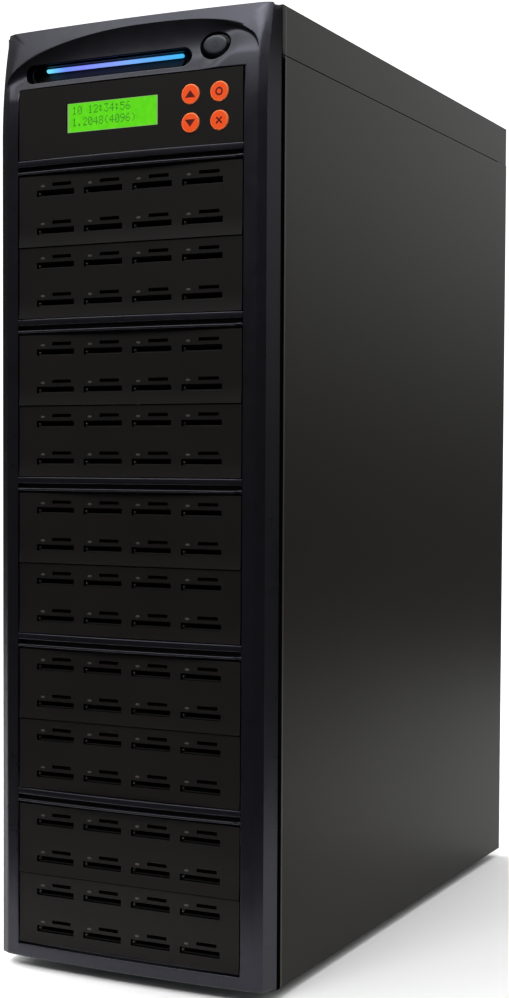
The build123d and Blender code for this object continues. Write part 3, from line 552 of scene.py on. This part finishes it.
def plan(x):
    """Depth of the face behind its middle: an arc out to the shoulder, then a soft turn and a flat band."""
    radius = (SHOULDER**2 + SHOULDER_SAG**2) / (2 * SHOULDER_SAG)
    fine = np.linspace(0, CORNER + 1, 3000)
    arc = np.minimum(fine, SHOULDER + 2)
    slope = arc / np.sqrt(radius**2 - arc**2)
    band = (CORNER_SAG - SHOULDER_SAG) / (CORNER - SHOULDER)
    slope += (band - slope) * smooth((fine - SHOULDER + TURN) / (2 * TURN))
    depth = np.concatenate([[0], np.cumsum((slope[1:] + slope[:-1]) / 2 * np.diff(fine))])
    return np.interp(np.abs(x), fine, depth)


def bezel_face(x, z):
    """Depth of the plain face at x and z. Outside the corner a flank runs straight to the case."""
    front = CASE_FRONT - BEZEL_REACH + lean(z)
    corner = front + plan(CORNER)
    flank = corner + (BEZEL_BACK - corner) * (np.abs(x) - CORNER) / (FLANGE - CORNER)
    return np.where(np.abs(x) <= CORNER, front + plan(x), flank)


def arch(x):
    """Height of the arch over the scoop's floor: an ellipse on the left and a squarer curve on the right."""
    u = (x - SCOOP_MIDDLE) / np.where(x < SCOOP_MIDDLE, SCOOP_LEFT, SCOOP_RIGHT)
    power = np.where(x < SCOOP_MIDDLE, 2.0, 3.0)
    return SCOOP_RISE * np.maximum(0.0, 1 - np.minimum(1, np.abs(u)) ** power) ** (1 / power)


def quarter(distance, radius):
    """Fall of a rounded edge: a quarter circle that meets the face at radius from the edge."""
    inner = np.clip(radius - distance, 0, radius)
    return radius - np.sqrt(np.maximum(0, radius**2 - inner**2))


# The arch as a line of points: up one stile, over the top and down the other stile.
turn = np.linspace(0, math.pi / 2, 160)
left_x = SCOOP_MIDDLE - SCOOP_LEFT * np.cos(turn)
right_x = SCOOP_MIDDLE + SCOOP_RIGHT * np.cos(turn[::-1]) ** (2 / 3)
stile_z = np.linspace(LEAN_START, SCOOP_FLOOR, 30)
top_x = np.concatenate([left_x[1:], right_x[1:-1]])
arch_x = np.concatenate([np.full_like(stile_z, left_x[0]), top_x, np.full_like(stile_z, right_x[-1])])
arch_z = np.concatenate([stile_z, SCOOP_FLOOR + arch(top_x), stile_z[::-1]])


def to_arch(x, z):
    """Shortest distance from each place to the arch's line."""
    flat = np.stack([np.ravel(x), np.ravel(z)], 1)
    start = np.stack([arch_x[:-1], arch_z[:-1]], 1)
    run = np.diff(np.stack([arch_x, arch_z], 1), axis=0)
    size = np.maximum((run**2).sum(1), 1e-12)
    best = np.full(len(flat), np.inf)
    for k in range(0, len(flat), 4000):
        part = flat[k : k + 4000, None] - start
        t = np.clip((part * run).sum(2) / size, 0, 1)
        best[k : k + 4000] = np.sqrt(((part - t[..., None] * run) ** 2).sum(2).min(1))
    return best.reshape(np.shape(x))


def inside_arch(x, z):
    """Whether a place lies under the arch, its straight ends carried down the stiles."""
    between = (x > left_x[0]) & (x < right_x[-1])
    return between & (z < SCOOP_FLOOR + arch(x))


def scoop_depth(x, z):
    """Depth of the scoop under the plain face. Its floor sinks in smoothly from below, and its wall under
    the arch is a parabola, narrow at the ends and wide in the middle. It is deepest in the middle, and
    shallower, steeper and higher up towards the button's end."""
    away = np.where(inside_arch(x, z), to_arch(x, z), 0.0)
    u = (x - SCOOP_MIDDLE) / np.where(x < SCOOP_MIDDLE, SCOOP_LEFT, SCOOP_RIGHT)
    belly = np.maximum(0, 1 - u**2)
    near_end = smooth((x - 45.0) / 25.0)
    width = (6.0 + 14.0 * belly) * (1 - 0.7 * near_end)

    def wall(d):
        share = np.clip(d / width, 0, 1)
        return 1 - (1 - share) ** 2

    fall = np.where(away > SCOOP_LIP, wall(away), wall(SCOOP_LIP) * (away / SCOOP_LIP) ** 1.3)
    sink = smooth((z - SCOOP_FLOOR + 9.0 - 14.0 * near_end) / (18.0 - 2.0 * near_end))
    return (SCOOP_DEPTH + SCOOP_BELLY * belly - SCOOP_END_LOSS * near_end) * sink * fall


def front_surface(x, z):
    """Depth of the finished front at x and z, before the edges are rounded."""
    return bezel_face(x, z) + scoop_depth(x, z)


# Bezel
def edge_lines(at, radius, towards):
    """Grid lines across a rounded edge that starts at one place and runs towards one side."""
    return [at + towards * radius * k for k in (0, 0.04, 0.14, 0.3, 0.5, 0.75, 1.0)]


# The grid's lines across the bezel: close together at the window's edge, the shoulder and the corner.
half_lines = edge_lines(WINDOW, EDGE, 1) + [77.5, 79.0, 80.5]
half_lines += [SHOULDER + k for k in (-1.2, -0.8, -0.4, 0, 0.4, 0.8, 1.2, 2.0, 3.0)]
half_lines += [CORNER + k for k in (-1.2, -0.6, -0.3, -0.12, 0, 0.1, 0.3, 0.7, 1.3, 2.2, 2.8)] + [FLANGE]
middle_lines = list(np.linspace(-WINDOW, WINDOW, 41))
x_lines = np.array(sorted([-v for v in half_lines] + middle_lines[1:-1] + half_lines))
FOOT_TOP = GROUP_FLOORS[0] - 1.3


def body_bezel():
    """The bezel up to where it starts to lean: stiles, a foot band and five dividers, each with a rebate,
    two rounded lips and a groove between them."""
    step = 0.001
    z = [BEZEL_BOTTOM + v for v in (0, 0.1, 0.3, 0.6, 1.0, 1.5, 3.0)]
    z += edge_lines(FOOT_TOP, EDGE, -1) + [FOOT_TOP + step, GROUP_FLOORS[0]]
    for floor in GROUP_FLOORS:
        b = floor + GROUP
        z += list(np.linspace(floor, b, 9)) + [b + 0.5, b + LIP_LOW - step]
        z += edge_lines(b + LIP_LOW, EDGE, 1) + edge_lines(b + GROOVE_LOW, EDGE, -1)
        z += [b + GROOVE_LOW + step, b + 3.8, b + GROOVE_HIGH - step]
        z += edge_lines(b + GROOVE_HIGH, HIGH_LIP_EDGE, 1) + edge_lines(b + DIVIDER, EDGE, -1)
    z += list(np.linspace(CONTROL_FLOOR, LEAN_START, 4))
    z = np.unique(np.round(z, 4))
    gx, gz = np.meshgrid(x_lines, z)
    y = bezel_face(gx, gz)
    between = np.abs(gx) <= WINDOW + 1e-6
    for floor in GROUP_FLOORS:
        b = floor + GROUP
        here = between & (gz >= b - 1e-6) & (gz <= b + DIVIDER + 1e-6)
        r = gz - b
        fall = quarter(DIVIDER - r, EDGE)
        fall = np.where(r <= GROOVE_LOW, quarter(GROOVE_LOW - r, EDGE) + quarter(r - LIP_LOW, EDGE), fall)
        fall = np.where(r >= GROOVE_HIGH, np.maximum(fall, quarter(r - GROOVE_HIGH, HIGH_LIP_EDGE)), fall)
        fall = np.where((r > GROOVE_LOW) & (r < GROOVE_HIGH), GROOVE_DEPTH, fall)
        fall = np.where(r < LIP_LOW, REBATE_DEPTH, fall)
        y = np.where(here, y + fall, y)
    y = np.where(between & (gz <= FOOT_TOP), y + quarter(FOOT_TOP - gz, EDGE), y)
    y = np.where(between & (gz > FOOT_TOP) & (gz <= GROUP_FLOORS[0]), y + REBATE_DEPTH, y)
    stile = ~between & (gz > GROUP_FLOORS[0]) & (np.abs(gx) < WINDOW + 1)
    y = np.where(stile, y + quarter(np.abs(gx) - WINDOW, EDGE), y)
    y = y + quarter(gz - BEZEL_BOTTOM, FOOT_EDGE) * (np.abs(gx) < FLANGE - 0.5)
    cx, cz = (gx[:-1, :-1] + gx[1:, 1:]) / 2, (gz[:-1, :-1] + gz[1:, 1:]) / 2
    hollow = np.zeros(cx.shape, dtype=bool)
    for floor, height in [(f, GROUP) for f in GROUP_FLOORS] + [(CONTROL_FLOOR, BAY)]:
        hollow |= (np.abs(cx) < WINDOW) & (cz > floor) & (cz < floor + height)
    return closed_shell(gx, np.minimum(y, BEZEL_BACK), gz, ~hollow, BEZEL_BACK)


def reach_to(angles, inside):
    """How far a ray from the chin's pivot runs at each angle while it stays inside a shape, by halving."""
    low, high = np.zeros_like(angles), np.full_like(angles, 140.0)
    for _ in range(40):
        middle = (low + high) / 2
        held = inside(middle * np.cos(angles), LEAN_START + middle * np.sin(angles))
        low, high = np.where(held, middle, low), np.where(held, high, middle)
    return low


def rounded_top(half, top, radius):
    """A test for places under a top edge with rounded corners, between two sides."""

    def inside(x, z):
        dx, dz = np.abs(x) - (half - radius), z - (top - radius)
        corner = (dx > 0) & (dz > 0) & (np.hypot(dx, dz) > radius)
        return (np.abs(x) < half) & (z < top) & ~corner

    return inside


def chin_bezel():
    """The bezel above the straight part. Lines fan out from one pivot, and rings run along the bay's edge,
    the arch and the rim, so each of the three is one clean line. The two holes are cut into the rings."""
    bay_turn = math.atan2(CONTROL_TOP - LEAN_START, WINDOW)
    rim_turn = math.atan2(CASE_TOP - LEAN_START, CORNER)
    stops = [0, bay_turn, rim_turn - 0.05, rim_turn + 0.05, math.pi / 2]
    spans = zip(stops[:-1], stops[1:], (40, 36, 26, 110))
    fan = np.concatenate([[0]] + [np.linspace(low, high, count)[1:] for low, high, count in spans])
    angles = np.concatenate([fan, math.pi - fan[-2::-1]])
    top = CASE_TOP + CREST
    bay = reach_to(angles, lambda x, z: (np.abs(x) < WINDOW) & (z < CONTROL_TOP))
    over = reach_to(angles, lambda x, z: inside_arch(x, np.maximum(z, LEAN_START + 1e-9)))
    rim = reach_to(angles, rounded_top(CORNER, top, RIM_CORNER))
    back = reach_to(angles, rounded_top(FLANGE, CASE_TOP, BACK_CORNER))
    rings = [bay + k for k in (0, 0.03, 0.1, 0.2, 0.35, EDGE)]
    start, stop = bay + EDGE, over - 4.0
    rings += [start + (stop - start) * t for t in np.linspace(0, 1, 44)[1:]]
    rings += [over - k for k in (3.0, 2.2, 1.6, 1.1, 0.8, 0.6, 0.45, 0.3, 0.15, 0.0)]
    room = rim - over - 0.8
    rings += [over + room * t for t in (0.06, 0.15, 0.3, 0.5, 0.75, 1.0)]
    rings += [rim - k for k in (0.6, 0.4, 0.25, 0.12, 0.04, 0.0)]
    r = np.array(rings)
    gx, gz = r * np.cos(angles), LEAN_START + r * np.sin(angles)
    holes = [
        lambda x, z: stadium(x, z, SLOT_X, SLOT_Z, SLOT_LENGTH + 2 * EDGE, SLOT_HEIGHT + 2 * EDGE),
        lambda x, z: ellipse(x, z, BUTTON_X, BUTTON_Z, *(half + EDGE for half in BUTTON_HOLE)),
    ]
    kept = np.ones((gx.shape[0] - 1, gx.shape[1] - 1), dtype=bool)
    gx, gz, kept = pierced_face(gx, gz, holes, kept)
    y = front_surface(gx, gz)
    edge = np.hypot(np.maximum(np.abs(gx) - WINDOW, 0), np.maximum(gz - CONTROL_TOP, 0))
    y += quarter(edge, EDGE) + quarter(top - gz, RIM_EDGE)
    index = np.arange(gx.size).reshape(gx.shape)
    front = np.stack([gx, y, gz], -1).reshape(-1, 3)

    def at_back(far):
        x, z = far * np.cos(angles), LEAN_START + far * np.sin(angles)
        return np.stack([x, np.full_like(far, BEZEL_BACK), z], -1)

    rear_bay, rear_rim = at_back(bay), at_back(back)
    count = len(angles)
    side = np.arange(5)[:, None, None] / 4
    flank = (front[index[-1]] + side * (rear_rim - front[index[-1]])).reshape(-1, 3)
    points = np.concatenate([front, rear_bay, flank])
    at_bay, at_rim = gx.size + np.arange(count), gx.size + count + np.arange(5 * count).reshape(5, count)
    a, b = index[:-1, :-1][kept], index[:-1, 1:][kept]
    c, d = index[1:, 1:][kept], index[1:, :-1][kept]
    faces = [np.stack([a, d, c, b], -1)]
    inner = index[0]
    faces.append(np.stack([inner[:-1], inner[1:], at_bay[1:], at_bay[:-1]], -1))
    for low, high in zip(at_rim[:-1], at_rim[1:]):
        faces.append(np.stack([low[:-1], high[:-1], high[1:], low[1:]], -1))
    return points, np.concatenate(faces)


def rim_of_hole(outline, deep):
    """The rounded rim of a hole in the scoop: a quarter circle from the face into the hole, then a wall."""
    x, z, nx, nz = outline
    face = front_surface(x + nx * EDGE, z + nz * EDGE)
    angle = np.linspace(0, math.pi / 2, 6)[:, None]
    out = EDGE * (1 - np.sin(angle))
    rings = np.stack([x + nx * out, face + EDGE * (1 - np.cos(angle)), z + nz * out], -1)
    wall = rings[-1:].copy()
    wall[..., 1] = deep
    rings = np.concatenate([rings, wall])
    return rings.reshape(-1, 3), ring_faces(*rings.shape[:2])


def ring_faces(rings, count):
    """The four-sided faces between rings of points, each joined to the next one and closed on itself."""
    index = np.arange(rings * count).reshape(rings, count)
    after = np.roll(index, -1, axis=1)
    return np.stack([index[:-1], index[1:], after[1:], after[:-1]], -1).reshape(-1, 4)


def capped_rings(rings, first, last):
    """A closed body: rings of points along a line, with a middle point in front of them and one behind."""
    count = rings.shape[1]
    points = np.concatenate([[first], rings.reshape(-1, 3), [last]])
    sides = ring_faces(*rings.shape[:2]) + 1
    turn = np.arange(count)
    after = np.roll(turn, -1)
    tail = len(points) - 1 - count
    front = np.stack([np.zeros(count, dtype=int), 1 + turn, 1 + after], -1)
    rear = np.stack([np.full(count, len(points) - 1), tail + after, tail + turn], -1)
    return points, front.tolist() + sides.tolist() + rear.tolist()


def stadium_outline(cx, cz, length, height, count=40):
    """Points round a slot with round ends, with the outward direction at each."""
    half, r = (length - height) / 2, height / 2
    angle = np.linspace(-math.pi / 2, math.pi / 2, count)
    straight = np.linspace(half, -half, 2 * count)[1:-1]
    flat, up = np.zeros_like(straight), np.ones_like(straight)
    x = np.concatenate([half + r * np.cos(angle), straight, -half - r * np.cos(angle), -straight])
    z = np.concatenate([r * np.sin(angle), up * r, -r * np.sin(angle), -up * r])
    nx = np.concatenate([np.cos(angle), flat, -np.cos(angle), flat])
    nz = np.concatenate([np.sin(angle), up, -np.sin(angle), -up])
    return cx + x, cz + z, nx, nz


def ellipse_outline(cx, cz, a, b, count=96):
    """Points round an ellipse, with the outward direction at each."""
    t = np.arange(count) * 2 * math.pi / count
    nx, nz = np.cos(t) / a, np.sin(t) / b
    size = np.hypot(nx, nz)
    return cx + a * np.cos(t), cz + b * np.sin(t), nx / size, nz / size


def of_slot(piece):
    """Hands the piece back unchanged."""
    return piece


bezel = of_slot(make_piece("bezel_face", *body_bezel(), bezel_gloss, "case"))
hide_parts("front_bezel")
of_slot(make_piece("bezel_chin", *chin_bezel(), bezel_gloss, "case", crease=50.0))
slot_hole = rim_of_hole(stadium_outline(SLOT_X, SLOT_Z, SLOT_LENGTH, SLOT_HEIGHT), CASE_FRONT - 1.0)
of_slot(make_piece("slot_rim", *slot_hole, bezel_gloss, "case"))
button_hole = rim_of_hole(ellipse_outline(BUTTON_X, BUTTON_Z, *BUTTON_HOLE), BEZEL_BACK)
of_slot(make_piece("button_rim", *button_hole, bezel_gloss, "case"))


def divider_tabs():
    """A small rounded catch on the lower lip of each divider, at its right end: a domed grid over a back.
    The dome's height falls off with the fourth power of the way to its edges."""
    points, faces = [], []
    half_wide, half_high, height, sunk = 2.2, 0.8, 0.7, 0.1
    u, v = np.meshgrid(np.linspace(-1, 1, 9), np.linspace(-1, 1, 7))
    rise = height * (1 - u**4) * (1 - v**4)
    for floor in GROUP_FLOORS:
        cx, cz = WINDOW - 2.6, floor + GROUP + LIP_LOW + 0.9
        x, z = cx + half_wide * u, cz + half_high * v
        y = bezel_face(np.full_like(u, cx), np.full_like(u, cz)) - rise + sunk
        n, start = u.size, len(points)
        points += np.stack([x, y, z], -1).reshape(-1, 3).tolist()
        points += np.stack([x, y + rise + 0.4, z], -1).reshape(-1, 3).tolist()
        index = np.arange(n).reshape(u.shape) + start
        quads = np.stack([index[:-1, :-1], index[:-1, 1:], index[1:, 1:], index[1:, :-1]], -1).reshape(-1, 4)
        ring = np.concatenate([index[0, :-1], index[:-1, -1], index[-1, :0:-1], index[:0:-1, 0]])
        after = np.roll(ring, -1)
        faces += quads.tolist() + (quads[:, ::-1] + n).tolist()
        faces += np.stack([after, ring, ring + n, after + n], -1).tolist()
    return points, faces


of_slot(make_piece("divider_tabs", *divider_tabs(), bezel_gloss, "case"))


# Power button and light rod. The button's outline runs from its face to its back: the share of its full
# size, and the depth in millimetres.
BUTTON_PROFILE = [(0.2, 0.0), (0.45, 0.05), (0.62, 0.12), (0.7, 0.2), (0.74, 0.34), (0.78, 0.62), (0.84, 1.1)]
BUTTON_PROFILE += [(0.9, 1.6), (0.95, 2.05), (0.98, 2.4), (0.995, 2.8), (1.0, 3.4), (1.0, 5.0)]


def domed_button(front_y, count=96):
    """The button's cap: ovals stacked along Y. Their share of the full size climbs fast at first and then
    levels off, which domes the face, and their middle drops a little towards the back."""
    share, y = np.array(BUTTON_PROFILE).T
    middle = BUTTON_Z + BUTTON_RISE * (1 - y / y[-1])
    t = np.arange(count) * 2 * math.pi / count
    x = BUTTON_X + BUTTON_HALF_X * share[:, None] * np.cos(t)
    z = middle[:, None] + BUTTON_HALF_Z * share[:, None] * np.sin(t)
    depth = np.broadcast_to(front_y + y[:, None], x.shape)
    first, last = (BUTTON_X, front_y, middle[0]), (BUTTON_X, front_y + y[-1], middle[-1])
    return capped_rings(np.stack([x, depth, z], -1), first, last)


def button_plastic():
    """Glossy black sides, a lighter satin face, and on it a ring and a stroke as the mark for power."""
    f = Finish("power_button_cap", tone(14, 14, 17), 0.2, Specular_IOR_Level=0.5)
    x, _, z = f.split()
    across, up = f.off(x, BUTTON_X), f.off(z, BUTTON_Z + BUTTON_RISE)
    u = f.maths("DIVIDE", across, BUTTON_HALF_X * MM)
    v = f.maths("DIVIDE", f.off(z, BUTTON_Z + 0.75), BUTTON_HALF_Z * MM)
    face = f.fit(f.reach(u, v), 0.72, 0.77, 1.0, 0.0)
    ring = f.below(f.size(f.off(f.reach(across, up), 1.7)), 0.25 * MM)
    stroke = f.both(f.below(f.size(across), 0.25 * MM), f.fit(up, 0.2 * MM, 0.3 * MM, 0.0, 1.0))
    stroke = f.both(stroke, f.below(up, 2.3 * MM))
    mark = f.maths("MAXIMUM", ring, stroke)
    satin = f.ramp(f.noise(1.2, 3.0), (0.3, tone(44, 46, 54)), (0.7, tone(54, 56, 66)))
    f.colour(f.mix(mark, f.mix(face, tone(12, 12, 15), satin), tone(22, 22, 26)))
    f.rough(f.maths("MULTIPLY_ADD", face, 0.25, 0.16))
    f.bump(f.noise(0.8, 3.0), 0.01)
    return f.material


def node_box(name):
    """The box of a CAD node in millimetres, as its two corners."""
    mesh = nodes[name].data
    flat = np.empty(len(mesh.vertices) * 3)
    mesh.vertices.foreach_get("co", flat)
    flat = flat.reshape(-1, 3) / MM
    return flat.min(0), flat.max(0)


button = domed_button(node_box("power_button")[0][1])
cap = make_piece("power_button_cap", *button, button_plastic(), "power_button_body", crease=50.0)
of_slot(cap)
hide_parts("power_button")


def light_rod(low, high, count=24, stations=60):
    """A rod of oval section between two corners of a box. Over its last millimetre or so at each end the
    section shrinks with a sine while the place moves with a cosine, which rounds the end."""
    round_end, straight_start = 1.2, 1.4
    middle, half = (low + high) / 2, (high - low) / 2
    turn = np.linspace(0.12, math.pi / 2, 8)
    inward = round_end * (1 - np.cos(turn))
    straight = np.linspace(low[0] + straight_start, high[0] - straight_start, stations)
    x = np.concatenate([low[0] + inward, straight, high[0] - inward[::-1]])[:, None]
    size = np.concatenate([np.sin(turn), np.ones(stations), np.sin(turn[::-1])])[:, None]
    t = -np.arange(count) * 2 * math.pi / count
    y, z = middle[1] + half[1] * size * np.cos(t), middle[2] + half[2] * size * np.sin(t)
    rings = np.stack([np.broadcast_to(x, y.shape), y, z], -1)
    return capped_rings(rings, (low[0], *middle[1:]), (high[0], *middle[1:]))


# The rod is slimmer than the plain bar of the CAD, by these two amounts at its foot and its top.
BAR_LOWER, BAR_UPPER = 0.05, 0.55
bar_low, bar_high = node_box("light_bar")
bar_low, bar_high = bar_low + (0, 0, BAR_LOWER), bar_high - (0, 0, BAR_UPPER)
rod = of_slot(make_piece("light_rod", *light_rod(bar_low, bar_high), glow, "case"))
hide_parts("light_bar")


# Marks on the plates, status lights and display
def domes(places, half_x, half_z, front, back, rings=3, count=12):
    """Low oval domes at many places in one mesh: a crown whose size grows with a sine while its height falls
    with a cosine, over a flat back."""
    t = np.arange(count) * 2 * math.pi / count
    turn = (np.arange(1, rings + 1) / rings * math.pi / 2)[:, None]
    x, z = half_x * np.sin(turn) * np.cos(t), half_z * np.sin(turn) * np.sin(t)
    y = np.broadcast_to(back + (front - back) * np.cos(turn), x.shape)
    dome, dome_faces = capped_rings(np.stack([x, y, z], -1), (0, front, 0), (0, back, 0))
    middles = np.array([(cx, 0, cz) for cx, cz in places])
    points = (middles[:, None] + dome).reshape(-1, 3)
    starts = range(0, len(points), len(dome))
    return points, [[start + corner for corner in face] for start in starts for face in dome_faces]


PLATE_TOPS = [floor + k * BAY for floor in GROUP_FLOORS for k in (1, 2)]
SLOTS = [(x, top - drop) for top in PLATE_TOPS for drop in SLOT_DROPS for x in COLUMNS]
printed = moulded("printed_mark", tone(66, 65, 62), 0.5, 0.6, 0.004, 0.12, Specular_IOR_Level=0.2).material
MARK_X, MARK_Z, MARK_HALF_X, MARK_HALF_Z, MARK_THICK = -8.8, 4.2, 1.7, 0.8, 0.05
ovals = [(x + MARK_X, z + MARK_Z) for x, z in SLOTS]
marks = domes(ovals, MARK_HALF_X, MARK_HALF_Z, PLATE_FRONT - MARK_THICK, PLATE_FRONT + MARK_THICK)
of_slot(make_piece("slot_marks", *marks, printed, "case"))
LAMP_X, LAMP_RADIUS, LAMP_DEPTH = -11.9, 0.42, 1.2
lamp_front = node_box("status_lights")[0][1]
lamp_places = [(x + LAMP_X, z) for x, z in SLOTS]
lamp_domes = domes(lamp_places, LAMP_RADIUS, LAMP_RADIUS, lamp_front, lamp_front + LAMP_DEPTH)
lamps = of_slot(make_piece("status_domes", *lamp_domes, lamp_clear, "case"))
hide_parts("status_lights")

# The figures of the display, each as seven rows of five dots from the top down.
DIGITS = {
    "0": "01110 10001 10011 10101 11001 10001 01110", "1": "00100 01100 00100 00100 00100 00100 01110",
    "2": "01110 10001 00001 00010 00100 01000 11111", "3": "11111 00010 00100 00010 00001 10001 01110",
    "4": "00010 00110 01010 10010 11111 00010 00010", "5": "11111 10000 11110 00001 00001 10001 01110",
    "6": "00110 01000 10000 11110 10001 10001 01110", "7": "11111 00001 00010 00100 01000 01000 01000",
    "8": "01110 10001 10001 01110 10001 10001 01110", "9": "01110 10001 10001 01111 00001 00010 01100",
    ":": "00000 01100 01100 00000 01100 01100 00000", ".": "00000 00000 00000 00000 00000 01100 01100",
    "(": "00010 00100 01000 01000 01000 00100 00010", ")": "01000 00100 00010 00010 00010 00100 01000",
}


FIGURES_LEFT, FIGURES_HIGH, FIGURES_LOW = DISPLAY_X - 27.2, DISPLAY_Z + 6.6, DISPLAY_Z - 0.2
FIGURE_PITCH, DOT_X, DOT_Z, DOT_SHARE = 3.62, 0.6, 0.68, 0.88
GLASS_FRONT = PLATE_FRONT + 0.97


def display_dots(rows, left):
    """The figures on the display: rows are (text, top) pairs, and each lit dot is a flat square just in front
    of the glass, at its column and row times the two pitches."""
    lit = [
        (left + place * FIGURE_PITCH + column * DOT_X, top - row * DOT_Z)
        for text, top in rows
        for place, sign in enumerate(text)
        for row, line in enumerate(DIGITS.get(sign, "").split())
        for column, dot in enumerate(line)
        if dot == "1"
    ]
    x, z = np.array(lit).T
    right, low = x + DOT_X * DOT_SHARE, z - DOT_Z * DOT_SHARE
    front = np.full_like(x, GLASS_FRONT)
    around = ((x, low), (right, low), (right, z), (x, z))
    points = np.stack([np.stack([cx, front, cz], -1) for cx, cz in around], 1).reshape(-1, 3)
    return points, np.arange(len(points)).reshape(-1, 4)


ink = moulded("display_ink", tone(30, 90, 10), 0.4, 0.5, 0.002, 0.1)
ink.shader.inputs["Emission Color"].default_value = tone(24, 96, 8)
ink.shader.inputs["Emission Strength"].default_value = 0.6
digits = display_dots([("10 12:34:56", FIGURES_HIGH), ("1.2048(4096)", FIGURES_LOW)], FIGURES_LEFT)
of_slot(make_piece("display_digits", *digits, ink.material, "case", smooth=False))


# Floor, backdrop, lights and camera
def stage_sheet(name, corners, skin):
    """A flat sheet of the stage between four corners."""
    mesh = bpy.data.meshes.new(name)
    mesh.from_pydata(corners, [], [(0, 1, 2, 3)])
    mesh.materials.append(skin)
    sheet = bpy.data.objects.new(name, mesh)
    bpy.context.scene.collection.objects.link(sheet)
    return sheet


def plain_stage():
    """A pale table top in front of a bright backdrop."""
    pale = Finish("floor_tone", tone(244, 244, 244), 0.7, Specular_IOR_Level=0.2)
    pale.colour(pale.ramp(pale.noise(400.0, 2.0), (0.3, tone(243, 243, 243)), (0.7, tone(246, 246, 246))))
    white = Finish("backdrop_tone", tone(255, 255, 255), 1.0)
    white.shader.inputs["Emission Color"].default_value = (1, 1, 1, 1)
    white.shader.inputs["Emission Strength"].default_value = 1.0
    table = [(-1.6, -0.36, 0), (0.5, -0.36, 0), (0.5, 1.3, 0), (-1.6, 1.3, 0)]
    wall = [(-8, 5, -3), (0.2, 5, -3), (0.2, 5, 6), (-8, 5, 6)]
    floor = stage_sheet("floor", table, pale.material)
    backdrop = stage_sheet("backdrop", wall, white.material)


def stand_at(holder, right, up, back, place):
    """Puts a lamp or a camera at a place, turned so that its three axes point the given ways."""
    rows = [(r, u, b, p) for r, u, b, p in zip(right, up, back, place)]
    holder.matrix_world = Matrix(rows + [(0, 0, 0, 1)])


def softbox(name, place, target, width, height, power):
    """A rectangular area lamp that faces a point."""
    lamp = bpy.data.lights.new(name, "AREA")
    lamp.shape = "RECTANGLE"
    lamp.size, lamp.size_y, lamp.energy = width, height, power
    holder = bpy.data.objects.new(name, lamp)
    bpy.context.scene.collection.objects.link(holder)
    away = np.array(place, float) - np.array(target, float)
    away /= np.linalg.norm(away)
    side = np.cross((0, 0, 1), away)
    side /= np.linalg.norm(side)
    stand_at(holder, side, np.cross(away, side), away, place)
    return holder


def photo_camera():
    """The camera of the photograph, fitted to the edges of the case and of the bays."""
    camera = bpy.data.cameras.new("photo_camera")
    camera.lens = 61.99
    camera.sensor_width = 36.0
    camera.shift_x = 0.0451
    camera.shift_y = 0.0308
    camera.clip_start = 0.05
    holder = bpy.data.objects.new("photo_camera", camera)
    bpy.context.scene.collection.objects.link(holder)
    right = (0.88844, 0.45897, 0.00386)
    up = (-0.02236, 0.03488, 0.99914)
    back = (0.45844, -0.88777, 0.04125)
    place = (0.50248, -1.08045, 0.30976)
    stand_at(holder, right, up, back, place)
    bpy.context.scene.camera = holder


def studio_world():
    """Grey surroundings for the reflections: dim in front and below, brighter upwards, and brightest behind
    and above the horizon. The world's own texture coordinate is the direction of view."""
    world = bpy.data.worlds.new("studio")
    world.use_nodes = True
    tree = world.node_tree
    view = tree.nodes.new("ShaderNodeTexCoord")
    way = tree.nodes.new("ShaderNodeSeparateXYZ")
    tree.links.new(view.outputs["Generated"], way.inputs["Vector"])

    def band(axis, low, high, dark, light):
        node = tree.nodes.new("ShaderNodeMapRange")
        for key, number in zip(("From Min", "From Max", "To Min", "To Max"), (low, high, dark, light)):
            node.inputs[key].default_value = number
        node.interpolation_type = "SMOOTHSTEP"
        tree.links.new(way.outputs[axis], node.inputs["Value"])
        return node.outputs["Result"]

    def joined(operation, a, b):
        node = tree.nodes.new("ShaderNodeMath")
        node.operation = operation
        tree.links.new(a, node.inputs[0])
        tree.links.new(b, node.inputs[1])
        return node.outputs["Value"]

    behind = joined("MULTIPLY", band("Y", 0.3, 0.95, 0.0, 1.7), band("Z", -0.02, 0.22, 0.04, 1.0))
    light = joined("ADD", behind, band("Z", 0.1, 0.8, 0.03, 0.7))
    tree.links.new(light, tree.nodes["Background"].inputs["Color"])
    bpy.context.scene.world = world


plain_stage()
softbox("front_box", (-0.95, -1.7, 1.85), (0, -0.2, 0.5), 1.2, 0.75, 10)
softbox("front_right_box", (0.05, -1.6, 2.0), (0, -0.2, 0.5), 1.05, 0.95, 31)
softbox("overhead", (-1.0, 0.1, 2.2), (0, 0, 0.5), 1.6, 1.4, 30)
# The two fills lift the sides without showing in the gloss.
softbox("left_fill", (-2.2, 0.2, 1.2), (0, 0, 0.3), 1.2, 1.2, 40).visible_glossy = False
softbox("rear_fill", (0.6, 2.4, 1.8), (0, 0.2, 0.3), 1.6, 1.0, 10).visible_glossy = False
studio_world()
photo_camera()
bpy.context.scene.view_settings.view_transform = "Standard"
